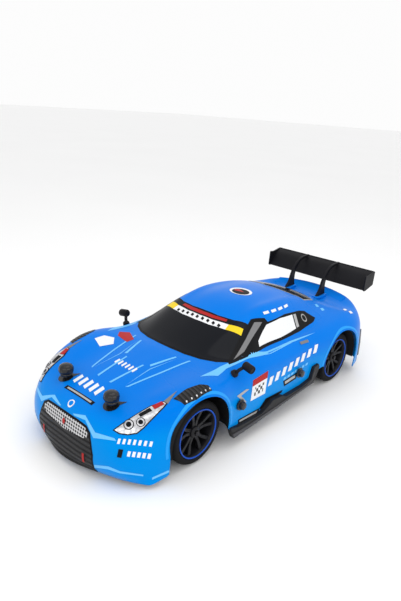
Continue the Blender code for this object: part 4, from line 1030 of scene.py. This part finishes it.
# ------------------------------------------------------------------ body clips
# Thumb knobs hold the shell: two domed ones on the bonnet posts, each over a black pointed patch
# that is a painted shadow, and two fluted ones through each side into the brackets of the tub.
gloss_black = mottled("gloss_black", 80.0, (0.006, 0.006, 0.007), (0.014, 0.014, 0.016), (0.18, 0.1),
                      400.0, Coat_Weight=0.25, Coat_Roughness=0.04, Specular_IOR_Level=0.25)
post_x, post_y, clip_height = 131.0, 24.0, 30.0
for side, word in sides:
    knob = spun(f"hood_knob_moulding_{word}",
                [(2.2, 0.0), (3.9, 0.0), (4.1, 0.9), (3.7, 1.5), (4.8, 2.4), (5.2, 3.9), (5.0, 5.6),
                 (4.3, 7.0), (3.0, 7.8), (1.4, 8.2)], (post_x, side * post_y, 45.2),
                (post_x, side * post_y, 54.7), gloss_black, f"hood_knob_{word}", 48, 12, 0.05)
    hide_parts(f"hood_knob_{word}")
    # Painted shadow of each bonnet knob: a black patch round its foot, drawn out to one point towards
    # the rear and left, the same way on both sides.
    knob_shadow_outline = []
    for k in range(20):
        reach, angle = 9.8 if k == 8 else 5.2, 2 * math.pi * k / 20
        knob_shadow_outline.append((post_x + reach * math.cos(angle), side * post_y + reach * math.sin(angle)))
    laid(f"hood_knob_shadow_{word}", gloss_black, knob_shadow_outline, "top", 0.25, 1, 1.2)
    for place, x in (("front", 51.0), ("rear", -22.0)):
        clip = spun(f"side_clip_{place}_{word}",
                    [(3.2, -0.2), (4.1, 0.0), (4.2, 0.7), (3.0, 1.1), (3.0, 2.6), (2.6, 3.5),
                     (1.2, 3.7)], (x, side * 62.8, clip_height), (x, side * 66.5, clip_height),
                    gloss_black, "shell", 36, 7, 0.10)
        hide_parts(f"side_knob_{place}_{word}")

# ------------------------------------------------------------------ chassis and running gear
# The tub, gearboxes, arms and steering are black nylon; shafts, pins and springs are steel.
nylon = finish("black_nylon", Specular_IOR_Level=0.3)
nylon_grain = nylon.noise(900.0, 3.0)
nylon.feed("Base Color", nylon.noise(60.0).blend((0.014, 0.014, 0.015), (0.030, 0.030, 0.032)))
nylon.feed("Roughness", 0.48 + nylon_grain * 0.15)
nylon.feed("Normal", nylon.bump(nylon_grain, 0.0001, 0.5))
steel = mottled("turned_steel", 1500.0, (0.42, 0.42, 0.43), (0.62, 0.62, 0.63),
                (0.22, 0.18), Metallic=1.0)
can_steel = mottled("motor_can", 50.0, (0.50, 0.50, 0.52), (0.66, 0.66, 0.68),
                    (0.3, 0.12), 800.0, Metallic=1.0)
wrap = finish("battery_wrap", Coat_Weight=0.5)
stripe = wrap.axis("Z") > 0.0195
wrap.feed("Base Color", stripe.blend((0.02, 0.20, 0.07), (0.55, 0.55, 0.50)))
wrap.feed("Roughness", 0.25 + wrap.noise(60.0) * 0.2)
pale_nylon = mottled("pale_nylon", 200.0, (0.62, 0.61, 0.57), (0.74, 0.73, 0.70), (0.45, 0.12), 500.0)
case_black = mottled("electronics_case", 300.0, (0.03, 0.03, 0.035),
                     (0.055, 0.055, 0.06), (0.4, 0.2), 1200.0)
case_black.feed("Normal", case_black.bump(case_black.noise(1800.0), 0.0001, 0.5))
node_finish = {"black_nylon": nylon, "steel": steel, "motor_can": can_steel, "battery_wrap": wrap,
               "light_nylon": pale_nylon, "electronics": case_black, "satin_trim": satin,
               "wheel": wheel_black, "tyre": rubber, "shell_paint": lacquer}
for entry in frame["record"]["subparts"]:
    node = frame["nodes"][entry["node"]]
    chosen = node_finish[entry["material_slot"]].made
    for slot_index in range(len(node.data.materials)):
        node.data.materials[slot_index] = chosen
    if not node.data.materials:
        node.data.materials.append(chosen)
